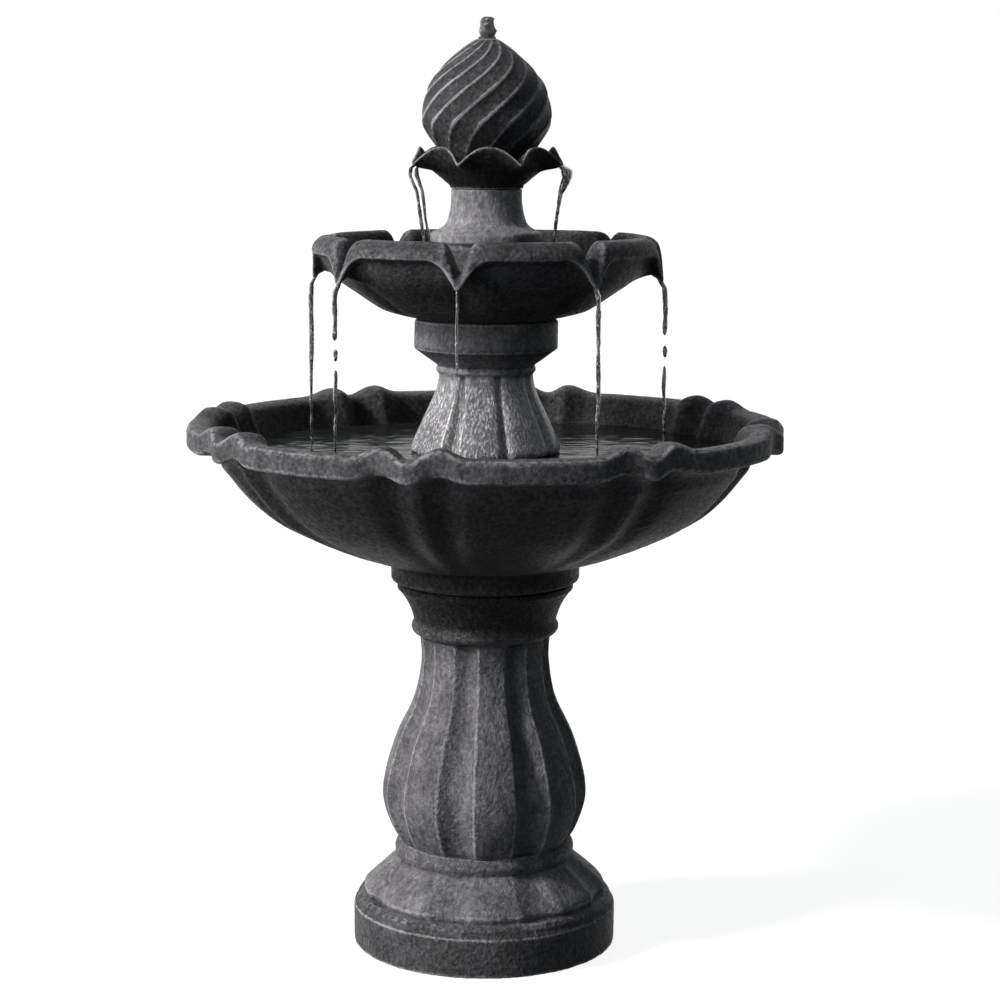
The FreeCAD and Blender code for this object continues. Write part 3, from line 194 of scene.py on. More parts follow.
# The way over the cup: its start, and then distance past the reach and height against the water level
CUP_START = (0.062, 0.003)
CUP_WAY = ((-0.006, 0.001), (0.0, -0.004), (0.0005, -0.011), (-0.006, -0.026))
CUP_FALL = -0.018
CUP_LANDING = 0.066
CUP_LANDING_AZIMUTHS = (160, -20)
CUP_STREAM_RADIUS, CUP_STREAM_THINNING = 0.0022, 0.5
BEAK_PLACE, BEAK_LENGTH = 0.2, 0.14
# Falling water: points around it, rings along a whole way, swells as share and size, and sway
STRAND_SIDES = 10
STRAND_RINGS, LEAST_RINGS = 90, 8
STRAND_SWELLS = ((0.35, 0.011), (0.15, 0.004))
SWAY, SWAY_SIZE = 0.001, 0.018
END_RINGS = 2.5
LEAST_CLOSING = 0.02
# The jet: how deep it starts in the nozzle, its height and radius, its waves, and where its top closes
JET_DEPTH, JET_HEIGHT, JET_RADIUS = 0.004, 0.0195, 0.0074
JET_RINGS, JET_SIDES = 40, 32
JET_WAVE, JET_WAVES = 0.0009, 7.0
JET_SHOULDER, JET_ROUNDING = 0.72, 2.2
JET_LUMPS = ((0.2, 0.006, 91), (0.1, 0.0028, 92))
LEAST_RADIUS = 1e-5

# Rounded edges of the pieces inside
BEVEL_WIDTH = 0.0003
BEVEL_SEGMENTS = 2
BEVEL_ANGLE = 40

# Camera
CAMERA_PLACE = (0.0127, -2.336, 0.804)
CAMERA_PITCH = 81.26
CAMERA_ROLL = -0.25
CAMERA_LENS = 86.4
SENSOR_WIDTH = 36.0

# Lamps: azimuth to the left of the viewer's direction, elevation, strength, angular size and colour
LAMPS = {
    "sun": (67.0, 35.0, 1.65, 6.0, (1.0, 0.975, 0.95)),
    "sky_left": (73.0, 4.0, 2.55, 60.0, (0.97, 0.985, 1.0)),
    "sky_front": (40.0, 40.0, 0.3, 60.0, (0.9, 0.96, 1.0)),
    "back": (180.0, 35.0, 0.3, 20.0, (0.9, 0.96, 1.0)),
}
FILL_STRENGTH = 0.035
FILL_COLOUR = (0.35, 0.85, 1.0)
WHITE = (1, 1, 1)
# The floor: half its width, its tones where it is seen and where it lights the object, and its glow
FLOOR_HALF = 30.0
FLOOR_SEEN = (0.3, 0.3, 0.3)
FLOOR_DULL = (0.08, 0.09, 0.095)
FLOOR_GLOW = 0.9


def hashed(cells, seed):
    """A number from 0 to 1 for each lattice cell."""
    x, y, z = (cells[:, axis] * factor for axis, factor in enumerate(CELL_FACTORS))
    key = x ^ y ^ z ^ seed * SEED_FACTOR
    key = (key ^ (key >> 13)) * SCATTER_FACTOR
    return ((key ^ (key >> 16)) & SCATTER_RANGE) / SCATTER_RANGE


def lattice_noise(points, size, seed):
    """Smooth noise from -1 to 1 at each point, with lumps of that size."""
    scaled = points / size
    cell = np.floor(scaled).astype(np.int64)
    share = scaled - cell
    share = share * share * (3 - 2 * share)
    total = np.zeros(len(points))
    for corner in np.ndindex(2, 2, 2):
        weight = np.prod(np.where(corner, share, 1 - share), axis=1)
        total += weight * hashed(cell + np.array(corner), seed)
    return total * 2 - 1


def noise_at(spot, size, seed):
    """Smooth noise from -1 to 1 at one point."""
    return lattice_noise(np.array([tuple(spot)]), size, seed)[0]


def vertex_array(mesh, source, name):
    """One vector for each vertex, as an array."""
    values = np.empty(len(mesh.vertices) * 3, np.float32)
    source.foreach_get(name, values)
    return values.reshape(-1, 3).astype(float)


def neighbour_mean(values, edges, counts):
    """The mean of each vertex's neighbours."""
    result = np.empty_like(values)
    for axis in range(values.shape[1]):
        total = np.bincount(edges[:, 0], values[edges[:, 1], axis], len(values))
        total += np.bincount(edges[:, 1], values[edges[:, 0], axis], len(values))
        result[:, axis] = total / counts
    return result


def smoothed(points, edges, rounds):
    """The points, each moved towards the mean of its neighbours that many times."""
    counts = np.maximum(np.bincount(edges.ravel(), minlength=len(points)), 1)
    for _ in range(rounds):
        points = neighbour_mean(points, edges, counts) * SMOOTHING + points * (1 - SMOOTHING)
    return points


def smoothing_rounds(reach, size, least):
    """How many rounds of smoothing reach that far on a mesh of that size."""
    return int(max(least, (reach / size) ** 2 * 2))


def standing_out(points, normals, edges, rounds):
    """How far each vertex stands out from the surface smoothed that many times."""
    return np.einsum("ij,ij->i", points - smoothed(points, edges, rounds), normals)


def unevenness(points, seed):
    """How far out each point of a cast surface lies from its true place."""
    out = np.zeros(len(points))
    for layer, (depth, size) in enumerate(UNEVEN):
        out += depth * lattice_noise(points, size, seed + layer)
    depth, size, start = PITS
    return out - depth * np.clip(lattice_noise(points, size, seed + len(UNEVEN)) - start, 0, 1)


def add_attribute(mesh, name, values):
    """A float for each vertex, for the materials."""
    layer = mesh.attributes.new(name, "FLOAT", "POINT")
    layer.data.foreach_set("value", values.astype(np.float32))


def by_height(points, steps):
    """A share for each point, from the shares at some heights."""
    heights, shares = zip(*steps)
    return np.interp(points[:, 2], heights, shares)


def facing_in(points, normals):
    """1 where a surface faces the axis, 0 where it faces away or up."""
    radius = np.maximum(np.hypot(points[:, 0], points[:, 1]), NEAR_AXIS)
    outward = (points[:, 0] * normals[:, 0] + points[:, 1] * normals[:, 1]) / radius
    return np.clip(-FACING_GAIN * outward, 0, 1)


def link(name, data):
    """A new object in the scene."""
    piece = bpy.data.objects.new(name, data)
    bpy.context.scene.collection.objects.link(piece)
    return piece


def finish_mesh(mesh, material):
    """Smooth shading and one material."""
    mesh.polygons.foreach_set("use_smooth", np.ones(len(mesh.polygons), bool))
    mesh.materials.clear()
    mesh.materials.append(material)


def even_mesh(node, size):
    """The node's shape as an even mesh of that size."""
    source = link(node + "_source", frame["nodes"][node].data.copy())
    remesh = source.modifiers.new("even", "REMESH")
    remesh.mode = "VOXEL"
    remesh.voxel_size = size
    graph = bpy.context.evaluated_depsgraph_get()
    mesh = bpy.data.meshes.new_from_object(source.evaluated_get(graph))
    bpy.data.objects.remove(source)
    return mesh


def add_wear_and_shade(mesh, node, points, normals, edges, size):
    """Attributes for the ridges, edges, grain, worn areas, and the painted shade and damp of a cast
    piece.
    """
    wide = smoothing_rounds(RIDGE_REACH, size, RIDGE_ROUNDS)
    narrow = smoothing_rounds(EDGE_REACH, size, EDGE_ROUNDS)
    sharp = standing_out(points, normals, edges, narrow)
    sharp *= EDGE_WEAR[node] / max(np.percentile(sharp, EDGE_PERCENTILE), LEAST_EDGE)
    pale = by_height(points, PALE_STONE[node])
    shade_and_damp = by_height(points, SHADE_AND_DAMP_BY_HEIGHT.get(node, UNDARKENED))
    if node in BOWLS:
        inside = facing_in(points, normals)
        pale = pale * (1 - inside)
        shade_and_damp = np.maximum(shade_and_damp, SHADE_AND_DAMP_INSIDE * inside)
    add_attribute(mesh, "ridge", standing_out(points, normals, edges, wide) / RIDGE_UNIT)
    add_attribute(mesh, "coarse", np.full(len(points), GRAIN_DEPTH[node]))
    add_attribute(mesh, "edge", sharp * (1 - shade_and_damp) ** 2)
    add_attribute(mesh, "pale", pale)
    add_attribute(mesh, "shade_and_damp", shade_and_damp)


def cast_piece(node, size, material, seed):
    """A cast piece in place of its node: uneven, pitted, with attributes for its wear, its painted shade
    and damp, and its grain.
    """
    mesh = even_mesh(node, size)
    edges = np.empty(len(mesh.edges) * 2, np.int32)
    mesh.edges.foreach_get("vertices", edges)
    edges = edges.reshape(-1, 2)
    points = smoothed(vertex_array(mesh, mesh.vertices, "co"), edges, 1)
    normals = vertex_array(mesh, mesh.vertex_normals, "vector")
    if node == "upper_bowl":
        foot, seam, inner = CUP_FOOT
        low = points[:, 2] < foot + CUP_FOOT_BAND
        hangs = low & (np.hypot(points[:, 0], points[:, 1]) > inner)
        points[hangs, 2] -= seam
    add_wear_and_shade(mesh, node, points, normals, edges, size)
    points = points + normals * unevenness(points, seed)[:, None]
    mesh.vertices.foreach_set("co", points.astype(np.float32).ravel())
    mesh.update()
    finish_mesh(mesh, material)
    piece = link(node + "_cast", mesh)
    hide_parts(node)
    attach(piece, BODY_OF[node])


class Paint:
    """Shorthand for building one material's nodes."""

    def __init__(self, name):
        self.material = bpy.data.materials.new(name)
        self.material.use_nodes = True
        self.tree = self.material.node_tree
        self.shader = self.tree.nodes["Principled BSDF"]
        self.place = self.node("ShaderNodeTexCoord").outputs["Object"]

    def node(self, kind, inputs=None, **settings):
        """A node with its settings, and its inputs as values or links."""
        node = self.tree.nodes.new(kind)
        for name, value in settings.items():
            setattr(node, name, value)
        for name, value in (inputs or {}).items():
            self.put(node.inputs[name], value)
        return node

    def put(self, socket, value):
        """A link if the value is a socket, and otherwise a constant."""
        if isinstance(value, bpy.types.NodeSocket):
            self.tree.links.new(value, socket)
        else:
            socket.default_value = value

    def noise(self, size, detail=3.0, stretch=(1, 1, 1), rough=0.55):
        """Noise with lumps of about that size, stretched by a factor along each axis."""
        scale = tuple(1 / (size * s) for s in stretch)
        mapped = self.node("ShaderNodeMapping", {"Vector": self.place, "Scale": scale})
        inputs = {"Vector": mapped.outputs["Vector"], "Scale": 1.0, "Detail": detail, "Roughness": rough}
        return self.node("ShaderNodeTexNoise", inputs).outputs["Fac"]

    def attribute(self, name):
        """A vertex attribute of the mesh."""
        return self.node("ShaderNodeAttribute", attribute_name=name).outputs["Fac"]

    def math(self, operation, a, b, clamp=False):
        """One sum of two numbers."""
        node = self.node("ShaderNodeMath", {0: a, 1: b}, operation=operation, use_clamp=clamp)
        return node.outputs[0]

    def plus(self, a, b):
        """The sum of two numbers."""
        return self.math("ADD", a, b)

    def less(self, a, b, clamp=False):
        """A number less another."""
        return self.math("SUBTRACT", a, b, clamp)

    def times(self, a, b):
        """The product of two numbers."""
        return self.math("MULTIPLY", a, b)

    def larger(self, a, b):
        """The larger of two numbers."""
        return self.math("MAXIMUM", a, b)

    def span(self, value, low, high):
        """0 below low, 1 above high, smooth between."""
        inputs = {"Value": value, "From Min": low, "From Max": high}
        node = self.node("ShaderNodeMapRange", inputs, interpolation_type="SMOOTHSTEP")
        return node.outputs["Result"]

    def ramp(self, value, low, high):
        """A noise spread between two numbers."""
        ends = {"From Min": NOISE_LOW, "From Max": NOISE_HIGH, "To Min": low, "To Max": high}
        return self.node("ShaderNodeMapRange", {"Value": value, **ends}).outputs["Result"]

    def blend(self, share, a, b):
        """A number between two others."""
        node = self.node("ShaderNodeMix", {"Factor": share, 2: a, 3: b}, data_type="FLOAT")
        return node.outputs[0]

    def mix(self, share, a, b, clamp=True):
        """One colour over another."""
        node = self.node("ShaderNodeMix", data_type="RGBA", clamp_factor=clamp)
        self.put(node.inputs["Factor"], share)
        for socket, value in ((node.inputs[6], a), (node.inputs[7], b)):
            self.put(socket, value if isinstance(value, bpy.types.NodeSocket) else (*value, 1.0))
        return node.outputs[2]

    def ramp_colour(self, value, low, high):
        """A colour between two others, spread as ramp does."""
        return self.mix(self.ramp(value, 0.0, 1.0), low, high)

    def scaled(self, colour, factor):
        """A colour made lighter or darker."""
        node = self.node("ShaderNodeVectorMath", {0: colour, "Scale": factor}, operation="SCALE")
        return node.outputs["Vector"]

    def set(self, **values):
        """Inputs of the shader, with _ for a space in a name."""
        for name, value in values.items():
            if isinstance(value, tuple) and len(value) == 3:
                value = (*value, 1.0)
            self.put(self.shader.inputs[name.replace("_", " ")], value)

    def bump(self, height, depth, strength=1.0):
        """A bump of that depth."""
        inputs = {"Height": height, "Distance": depth, "Strength": strength}
        self.put(self.shader.inputs["Normal"], self.node("ShaderNodeBump", inputs).outputs["Normal"])


def cast_stone():
    """Dark cast resin: mottled charcoal, pale worn areas and thin pale edges over a leathery grain, with
    painted shade and painted glints.
    """
    paint = Paint("cast_stone")
    ridge = paint.attribute("ridge")
    edge = paint.attribute("edge")
    pale = paint.attribute("pale")
    shade_and_damp = paint.attribute("shade_and_damp")
    coarse = paint.attribute("coarse")
    patches = paint.noise(PATCH_SIZE, 5.0, rough=0.6)
    streaks = paint.noise(STREAK_SIZE, 4.0, (1, 1, 5))
    grain = paint.noise(GRAIN_SIZE, 4.0, rough=0.62)
    fine = paint.noise(FINE_SIZE, 2.0)
    trickles = paint.noise(TRICKLE_SIZE, 3.0, (1, 1, 4.0), 0.6)
    # Wet stone, mostly on the bell: a glossy coat, streaky bumps, and the streaks painted pale as
    # glints.
    wet_and_painted_glints = paint.span(pale, 0.55, 0.9)

    raised = paint.plus(edge, paint.times(paint.less(grain, 0.5), 0.7))
    worn_edge = paint.times(paint.span(raised, 0.4, 1.0), 0.8)
    crests = paint.times(paint.span(ridge, 0.25, 1.3), paint.ramp(grain, 0.08, 0.42))
    worn_crest = paint.times(crests, paint.less(1.0, paint.times(shade_and_damp, 1.5), clamp=True))
    dry_wear = paint.times(pale, paint.ramp(streaks, 0.5, 1.45))
    # Painted glints: pale streaks on the wet stone.
    painted_wet_glints = paint.plus(paint.times(paint.span(trickles, 0.46, 0.66), 1.6), 0.45)
    # Painted glints: sparse pale specks over the stone, more where its grain is coarse.
    painted_glint_specks = paint.times(paint.times(paint.span(fine, 0.60, 0.72), 0.2), coarse)
    # Pale wear, with the painted glints laid in.
    wear_and_painted_glints = paint.plus(paint.blend(wet_and_painted_glints, dry_wear, painted_wet_glints), painted_glint_specks)
    pale_wear_and_glints = paint.larger(paint.larger(worn_edge, worn_crest), wear_and_painted_glints)

    # Painted shade and damp darken the stone.
    dark = paint.scaled(paint.ramp_colour(grain, *STONE_TONES), paint.less(1.0, shade_and_damp))
    tone = paint.mix(pale_wear_and_glints, dark, PALE_TONE, clamp=False)
    for mottle, low, high in ((patches, 0.68, 1.32), (grain, 0.74, 1.26), (fine, 0.82, 1.18)):
        tone = paint.scaled(tone, paint.ramp(mottle, low, high))
    # Painted shade: hollows darker, by up to a half.
    painted_hollow_shade = paint.span(paint.times(ridge, -1.0), 0.15, 1.5)
    tone = paint.scaled(tone, paint.less(1.0, paint.times(painted_hollow_shade, 0.5)))
    paint.set(Base_Color=tone, Roughness=paint.ramp(grain, 0.58, 0.32), Specular_IOR_Level=0.025,
              Coat_Weight=paint.times(wet_and_painted_glints, 0.5), Coat_Roughness=0.25)

    height = paint.plus(grain, paint.times(fine, 0.25))
    height = paint.plus(height, paint.times(trickles, wet_and_painted_glints))
    paint.bump(paint.times(height, coarse), *STONE_BUMP)
    return paint.material


def moulded(name, dark, light, rough, grain_size=0.0009, bump=0.00006, **shader):
    """A moulded plastic, rubber or metal: two close tones, fine grain and scuffs."""
    paint = Paint(name)
    grain = paint.noise(grain_size, 2.0)
    cloud = paint.noise(0.012, 4.0)
    tone = paint.mix(paint.span(cloud, 0.3, 0.7), dark, light)
    tone = paint.mix(paint.times(paint.span(grain, 0.6, 0.8), 0.35), tone, light)
    scuffs = {"Value": cloud, "To Min": rough - 0.08, "To Max": rough + 0.1}
    roughness = paint.node("ShaderNodeMapRange", scuffs).outputs["Result"]
    paint.set(Base_Color=tone, Roughness=roughness, **shader)
    paint.bump(grain, bump)
    return paint.material


def pool_water():
    """Still dark water with small ripples."""
    paint = Paint("pool_water")
    drift = paint.noise(0.02, 3.0, (2.2, 1, 1))
    tone = paint.mix(paint.span(drift, 0.35, 0.7), (0.018, 0.022, 0.023), (0.05, 0.054, 0.054))
    paint.set(Base_Color=tone, Roughness=0.12, IOR=1.33, Specular_IOR_Level=0.06,
              Transmission_Weight=0.25)
    paint.bump(paint.noise(0.009, 2.0, (2.5, 1, 1)), 0.0012, 0.6)
    return paint.material


def falling_water():
    """Water in the air, partly clear: painted dark and grey in turn for the dark surroundings it shows,
    with painted pale glints.
    """
    paint = Paint("falling_water")
    swirl = paint.noise(0.004, 3.0, (1, 1, 2.2))
    painted_glint = paint.noise(0.0022, 2.0, (1, 1, 1.6))
    # Painted reflection: dark and grey in turn.
    tone = paint.mix(paint.span(swirl, 0.4, 0.62), (0.04, 0.042, 0.043), (0.27, 0.27, 0.27))
    # Painted glints: pale spots.
    tone = paint.mix(paint.span(painted_glint, 0.57, 0.66), tone, (0.85, 0.87, 0.88))
    paint.set(Base_Color=tone, Roughness=0.16, IOR=1.33, Transmission_Weight=0.35)
    paint.bump(swirl, 0.001, 0.7)
    return paint.material


def cut_loops(node, level):
    """The closed curves in which a level plane cuts a node, as arrays of points."""
    cut = bmesh.new()
    cut.from_mesh(frame["nodes"][node].data)
    geometry = cut.verts[:] + cut.edges[:] + cut.faces[:]
    found = bmesh.ops.bisect_plane(cut, geom=geometry, plane_co=(0, 0, level), plane_no=(0, 0, 1))
    joins = {}
    for edge in found["geom_cut"]:
        if isinstance(edge, bmesh.types.BMEdge):
            first, last = edge.verts
            joins.setdefault(first, []).append(last)
            joins.setdefault(last, []).append(first)
    loops = []
    while joins:
        waiting = [next(iter(joins))]
        loop = []
        while waiting:
            vertex = waiting.pop()
            if vertex in joins:
                loop.append(vertex.co[:2])
                waiting += joins.pop(vertex)
        loops.append(np.array(loop))
    cut.free()
    return loops


def mean_radius(loop):
    """The mean distance of a curve's points to the axis."""
    return np.hypot(loop[:, 0], loop[:, 1]).mean()


def wall_radius(node, level, least, count=360):
    """The radius of a bowl's inner wall at a level, for evenly spaced azimuths from -180 degrees."""
    walls = [loop for loop in cut_loops(node, level) if mean_radius(loop) > least]
    wall = min(walls, key=mean_radius)
    turn = np.degrees(np.arctan2(wall[:, 1], wall[:, 0]))
    order = np.argsort(turn)
    azimuths = np.linspace(-180, 180, count, endpoint=False)
    radius = np.hypot(wall[:, 0], wall[:, 1])
    return np.radians(azimuths), np.interp(azimuths, turn[order], radius[order], period=360)


def water_piece(name, points, faces, material):
    """A piece of water from its points and faces."""
    mesh = bpy.data.meshes.new(name)
    mesh.from_pydata([tuple(point) for point in points], [], faces)
    finish_mesh(mesh, material)
    return link(name, mesh)


def pool_faces(rings, count):
    """Faces of a flat ring-shaped body: its top, its underside, and its inner and outer edge."""
    size = rings * count
    faces = []
    for ring in range(rings - 1):
        for k in range(count):
            a = ring * count + k
            b = ring * count + (k + 1) % count
            faces.append((a, a + count, b + count, b))
            faces.append((size + b, size + b + count, size + a + count, size + a))
    for start, flip in ((0, False), (size - count, True)):
        for k in range(count):
            a = start + k
            b = start + (k + 1) % count
            quad = (a, b, size + b, size + a)
            faces.append(quad[::-1] if flip else quad)
    return faces


def pool(name, node, level, least, body, material, drops, rings=90):
    """A pool of water in a bowl, with ripples around the places where water falls in."""
    azimuths, edge = wall_radius(node, level, least)
    shares = np.linspace(0, 1, rings)
    reach = TUBE_RADIUS + shares[:, None] * (edge + POOL_OVERLAP - TUBE_RADIUS)[None, :]
    x = (reach * np.cos(azimuths)).ravel()
    y = (reach * np.sin(azimuths)).ravel()
    points = np.stack([x, y, np.full(len(x), level)], axis=1)
    height = np.zeros(len(x))
    for wave, size, seed in POOL_WAVES:
        height += wave * lattice_noise(points, size, seed)
    for spot in drops:
        away = np.hypot(x - spot[0], y - spot[1])
        height += DROP_HEIGHT * np.cos(away / DROP_SPACING) * np.exp(-away / DROP_REACH)
    points[:, 2] += height
    under = points.copy()
    under[:, 2] = level - POOL_DEPTH
    faces = pool_faces(rings, len(azimuths))
    piece = water_piece(name, np.concatenate([points, under]), faces, material)
    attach(piece, body)


def at(radius, azimuth, height):
    """A point from its distance to the axis, its azimuth in degrees and its height."""
    turn = math.radians(azimuth)
    return Vector((radius * math.cos(turn), radius * math.sin(turn), height))


def along_path(path, share):
    """The point at a share of a path's length."""
    lengths = [(b - a).length for a, b in zip(path, path[1:])]
    left = share * sum(lengths)
    for a, b, length in zip(path, path[1:], lengths):
        if left <= length or b is path[-1]:
            return a.lerp(b, min(1.0, left / length))
        left -= length


def tube_faces(rings, sides):
    """Faces of a tube whose points lie in rings, closed at both ends."""
    faces = []
    for low in range(0, rings * sides, sides):
        for k in range(sides):
            turned = (k + 1) % sides
            faces.append((low + k, low + turned, low + sides + turned, low + sides + k))
    faces.append(tuple(range(sides))[::-1])
    faces.append(tuple(range(rings * sides, rings * sides + sides)))
    return faces


def strand(path, start, end, radius, seed):
    """Points and faces of one unbroken length of falling water, rounded at both ends."""
    rings = max(LEAST_RINGS, int((end - start) * STRAND_RINGS))
    points = []
    for i in range(rings + 1):
        share = i / rings
        along = start + (end - start) * share
        centre = along_path(path, along)
        swell = 1
        for layer, (amount, size) in enumerate(STRAND_SWELLS):
            swell += amount * noise_at(centre, size, seed + layer)
        closing = math.sqrt(max(LEAST_CLOSING, 1 - abs(2 * share - 1) ** (rings / END_RINGS)))
        sway_x = noise_at(centre, SWAY_SIZE, seed + 2)
        sway_y = noise_at(centre, SWAY_SIZE, seed + 3)
        middle = centre + Vector((sway_x, sway_y, 0)) * SWAY
        wide = radius(along) * swell * closing
        for k in range(STRAND_SIDES):
            turn = 2 * math.pi * k / STRAND_SIDES
            points.append(middle + Vector((math.cos(turn), math.sin(turn), 0)) * wide)
    return points, tube_faces(rings, STRAND_SIDES)


def stream(name, path, pieces, radius, seed, body, material):
    """A stream that falls as several lengths of water."""
    points = []
    faces = []
    for i, (start, end) in enumerate(pieces):
        more, quads = strand(path, start, end, radius, seed + LENGTH_SEED_STEP * i)
        faces += [tuple(len(points) + k for k in quad) for quad in quads]
        points += more
    piece = water_piece(name, points, faces, material)
    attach(piece, body)
    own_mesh(piece)


def bowl_way(azimuth):
    """The way of the water over one spout of the middle bowl and down."""
    way = [at(radius, azimuth, MIDDLE_LEVEL + rise) for radius, rise in BOWL_WAY]
    return way + [at(BOWL_FALL, azimuth, LOWER_LEVEL)]


def cup_way(azimuth, reach):
    """The way of the water over the cup, drawn in as it falls."""
    start, start_rise = CUP_START
    way = [at(start, azimuth, CUP_LEVEL + start_rise)]
    way += [at(reach + past, azimuth, CUP_LEVEL + rise) for past, rise in CUP_WAY]
    return way + [at(reach + CUP_FALL, azimuth, MIDDLE_LEVEL)]


def bowl_stream_radius(slim):
    """The radius of a bowl stream at a share of its way."""
    return lambda share: slim * (1 - THINNING * max(0.0, share - THINNING_FROM))


def cup_stream_radius(beak):
    """The radius of a cup stream at a share of its way, thicker by beak where it bends over."""
    def radius(share):
        thick = beak * math.exp(-((share - BEAK_PLACE) / BEAK_LENGTH) ** 2)
        return CUP_STREAM_RADIUS * (1 - CUP_STREAM_THINNING * share) + thick
    return radius


def jet(material):
    """Water bubbling from the nozzle: a lumpy column, narrow at its foot."""
    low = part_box("bubbler_nozzle")[1][2] - JET_DEPTH
    points = []
    for i in range(JET_RINGS + 1):
        share = i / JET_RINGS
        closing = max(0.0, (share - JET_SHOULDER) / (1 - JET_SHOULDER)) ** JET_ROUNDING
        radius = JET_RADIUS + JET_WAVE * math.sin(share * JET_WAVES)
        radius = max(radius * math.sqrt(max(0.0, 1 - closing)), LEAST_RADIUS)
        for k in range(JET_SIDES):
            turn = 2 * math.pi * k / JET_SIDES
            points.append((radius * math.cos(turn), radius * math.sin(turn), low + JET_HEIGHT * share))
    points = np.array(points)
    bulge = np.ones(len(points))
    for amount, size, seed in JET_LUMPS:
        bulge += amount * lattice_noise(points, size, seed)
    points[:, :2] *= bulge[:, None]
    piece = water_piece("bubbling_jet", points, tube_faces(JET_RINGS, JET_SIDES), material)
    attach(piece, BODY_OF["finial"])


def make_cast_pieces():
    """All pieces of cast resin."""
    stone = cast_stone()
    for index, (node, size) in enumerate(CAST_MESH.items()):
        cast_piece(node, size, stone, CAST_SEED + CAST_SEED_STEP * index)


def make_water():
    """Pools, streams and the jet."""
    still = pool_water()
    falling = falling_water()
    landings = [at(BOWL_FALL, turn, LOWER_LEVEL) for turn, _, _ in BOWL_SPOUTS.values()]
    pool("lower_pool", "lower_bowl", LOWER_LEVEL, LOWER_INNER, "stand", still, landings)
    cup_landings = [at(CUP_LANDING, turn, MIDDLE_LEVEL) for turn in CUP_LANDING_AZIMUTHS]
    pool("middle_pool", "middle_bowl", MIDDLE_LEVEL, MIDDLE_INNER, "middle_tier", still, cup_landings)
    pool("cup_pool", "upper_bowl", CUP_LEVEL, CUP_INNER, "upper_tier", still, [], rings=40)
    for index, (side, (turn, slim, pieces)) in enumerate(BOWL_SPOUTS.items()):
        seed = BOWL_SEED + STREAM_SEED_STEP * index
        stream(f"stream_{side}", bowl_way(turn), pieces, bowl_stream_radius(slim), seed,
               "middle_tier", falling)
    for index, (side, (turn, reach, beak)) in enumerate(CUP_SPOUTS.items()):
        seed = CUP_SEED + STREAM_SEED_STEP * index
        stream(f"cup_stream_{side}", cup_way(turn, reach), [(0.0, 1.0)], cup_stream_radius(beak), seed,
               "upper_tier", falling)
    jet(falling)


def dress_inner_nodes():
    """Materials and rounded edges of the pieces inside."""
    finishes = {
        "black_rubber": moulded("rubber", (0.014, 0.014, 0.015), (0.032, 0.032, 0.033), 0.75),
        "pump_plastic": moulded("pump_plastic", (0.016, 0.017, 0.019), (0.034, 0.036, 0.039), 0.42),
        "white_nylon": moulded("white_nylon", (0.62, 0.61, 0.57), (0.72, 0.71, 0.67), 0.4),
        "ferrite": moulded("ferrite", (0.035, 0.035, 0.038), (0.075, 0.075, 0.08), 0.5, 0.0005, 0.0001),
        "shaft_ceramic": moulded("shaft_ceramic", (0.74, 0.73, 0.69), (0.82, 0.81, 0.77), 0.2),
        "clear_vinyl": moulded("clear_vinyl", (0.55, 0.6, 0.59), (0.68, 0.72, 0.71), 0.2,
                               Transmission_Weight=0.6, IOR=1.45),
        "steel": moulded("steel", (0.42, 0.42, 0.43), (0.56, 0.56, 0.57), 0.34, Metallic=1.0),
    }
    for node, piece in frame["nodes"].items():
        if node in CAST_MESH:
            continue
        piece.data.materials.clear()
        piece.data.materials.append(finishes[SLOT_OF[node]])
        bevel = piece.modifiers.new("edges", "BEVEL")
        bevel.width = BEVEL_WIDTH
        bevel.segments = BEVEL_SEGMENTS
        bevel.limit_method = "ANGLE"
        bevel.angle_limit = math.radians(BEVEL_ANGLE)


def background_rays(tree):
    """1 for rays that show the background: from the camera, off glossy things or through clear ones."""
    path = tree.nodes.new("ShaderNodeLightPath")
    shown = path.outputs["Is Camera Ray"]
    for kind in ("Is Glossy Ray", "Is Transmission Ray"):
        either = tree.nodes.new("ShaderNodeMath")
        either.operation = "MAXIMUM"
        tree.links.new(shown, either.inputs[0])
        tree.links.new(path.outputs[kind], either.inputs[1])
        shown = either.outputs[0]
    return shown


def shade(tree, kind, colour, strength=None):
    """A shader of one colour."""
    node = tree.nodes.new(kind)
    node.inputs["Color"].default_value = (*colour, 1)
    if strength is not None:
        node.inputs["Strength"].default_value = strength
    return node.outputs[0]


def show_background(tree, hidden, seen, output_kind):
    """One shader for the rays that show the background, and another for the rest."""
    mixed = tree.nodes.new("ShaderNodeMixShader")
    tree.links.new(background_rays(tree), mixed.inputs["Fac"])
    tree.links.new(hidden, mixed.inputs[1])
    tree.links.new(seen, mixed.inputs[2])
    output = tree.nodes.new(output_kind)
    tree.links.new(mixed.outputs[0], output.inputs["Surface"])


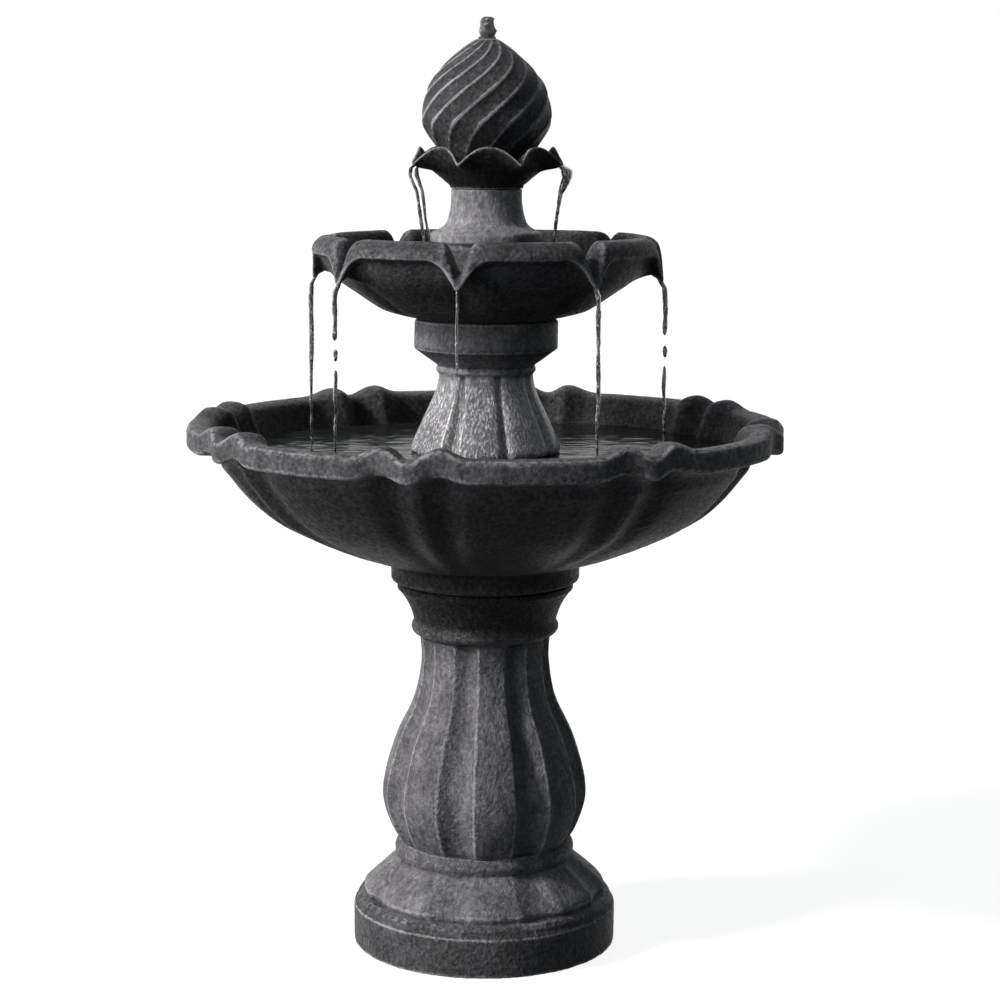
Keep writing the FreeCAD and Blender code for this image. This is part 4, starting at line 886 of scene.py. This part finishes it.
def make_world():
    """White behind the object, and a weak cool fill on it."""
    world = bpy.data.worlds.new("studio")
    bpy.context.scene.world = world
    world.use_nodes = True
    tree = world.node_tree
    tree.nodes.clear()
    fill = shade(tree, "ShaderNodeBackground", FILL_COLOUR, FILL_STRENGTH)
    white = shade(tree, "ShaderNodeBackground", WHITE, 1.0)
    show_background(tree, fill, white, "ShaderNodeOutputWorld")


def make_floor():
    """A wide pale floor that keeps a soft shadow."""
    corners = [(x * FLOOR_HALF, y * FLOOR_HALF, 0) for x, y in ((-1, -1), (1, -1), (1, 1), (-1, 1))]
    mesh = bpy.data.meshes.new("floor")
    mesh.from_pydata(corners, [], [(0, 1, 2, 3)])
    floor = link("floor", mesh)
    material = bpy.data.materials.new("pale_floor")
    material.use_nodes = True
    tree = material.node_tree
    tree.nodes.clear()
    both = tree.nodes.new("ShaderNodeAddShader")
    tree.links.new(shade(tree, "ShaderNodeBsdfDiffuse", FLOOR_SEEN), both.inputs[0])
    tree.links.new(shade(tree, "ShaderNodeEmission", WHITE, FLOOR_GLOW), both.inputs[1])
    dull = shade(tree, "ShaderNodeBsdfDiffuse", FLOOR_DULL)
    show_background(tree, dull, both.outputs[0], "ShaderNodeOutputMaterial")
    mesh.materials.append(material)


def make_sun(name, azimuth, elevation, strength, angle, colour):
    """A lamp far away, at an azimuth to the left of the viewer's own direction."""
    lamp = bpy.data.lights.new(name, "SUN")
    lamp.energy = strength
    lamp.angle = math.radians(angle)
    lamp.color = colour
    turn = math.radians(azimuth)
    lift = math.radians(elevation)
    level = math.cos(lift)
    towards = Vector((-math.sin(turn) * level, -math.cos(turn) * level, math.sin(lift)))
    link(name, lamp).rotation_euler = towards.to_track_quat("Z", "Y").to_euler()


def make_camera():
    """The photo's view."""
    data = bpy.data.cameras.new("camera")
    data.lens = CAMERA_LENS
    data.sensor_width = SENSOR_WIDTH
    camera = link("camera", data)
    camera.location = CAMERA_PLACE
    camera.rotation_euler = (math.radians(CAMERA_PITCH), math.radians(CAMERA_ROLL), 0)
    bpy.context.scene.camera = camera


make_cast_pieces()
make_water()
dress_inner_nodes()
make_world()
make_floor()
for lamp_name, settings in LAMPS.items():
    make_sun(lamp_name, *settings)
make_camera()
bpy.context.scene.view_settings.view_transform = "Standard"
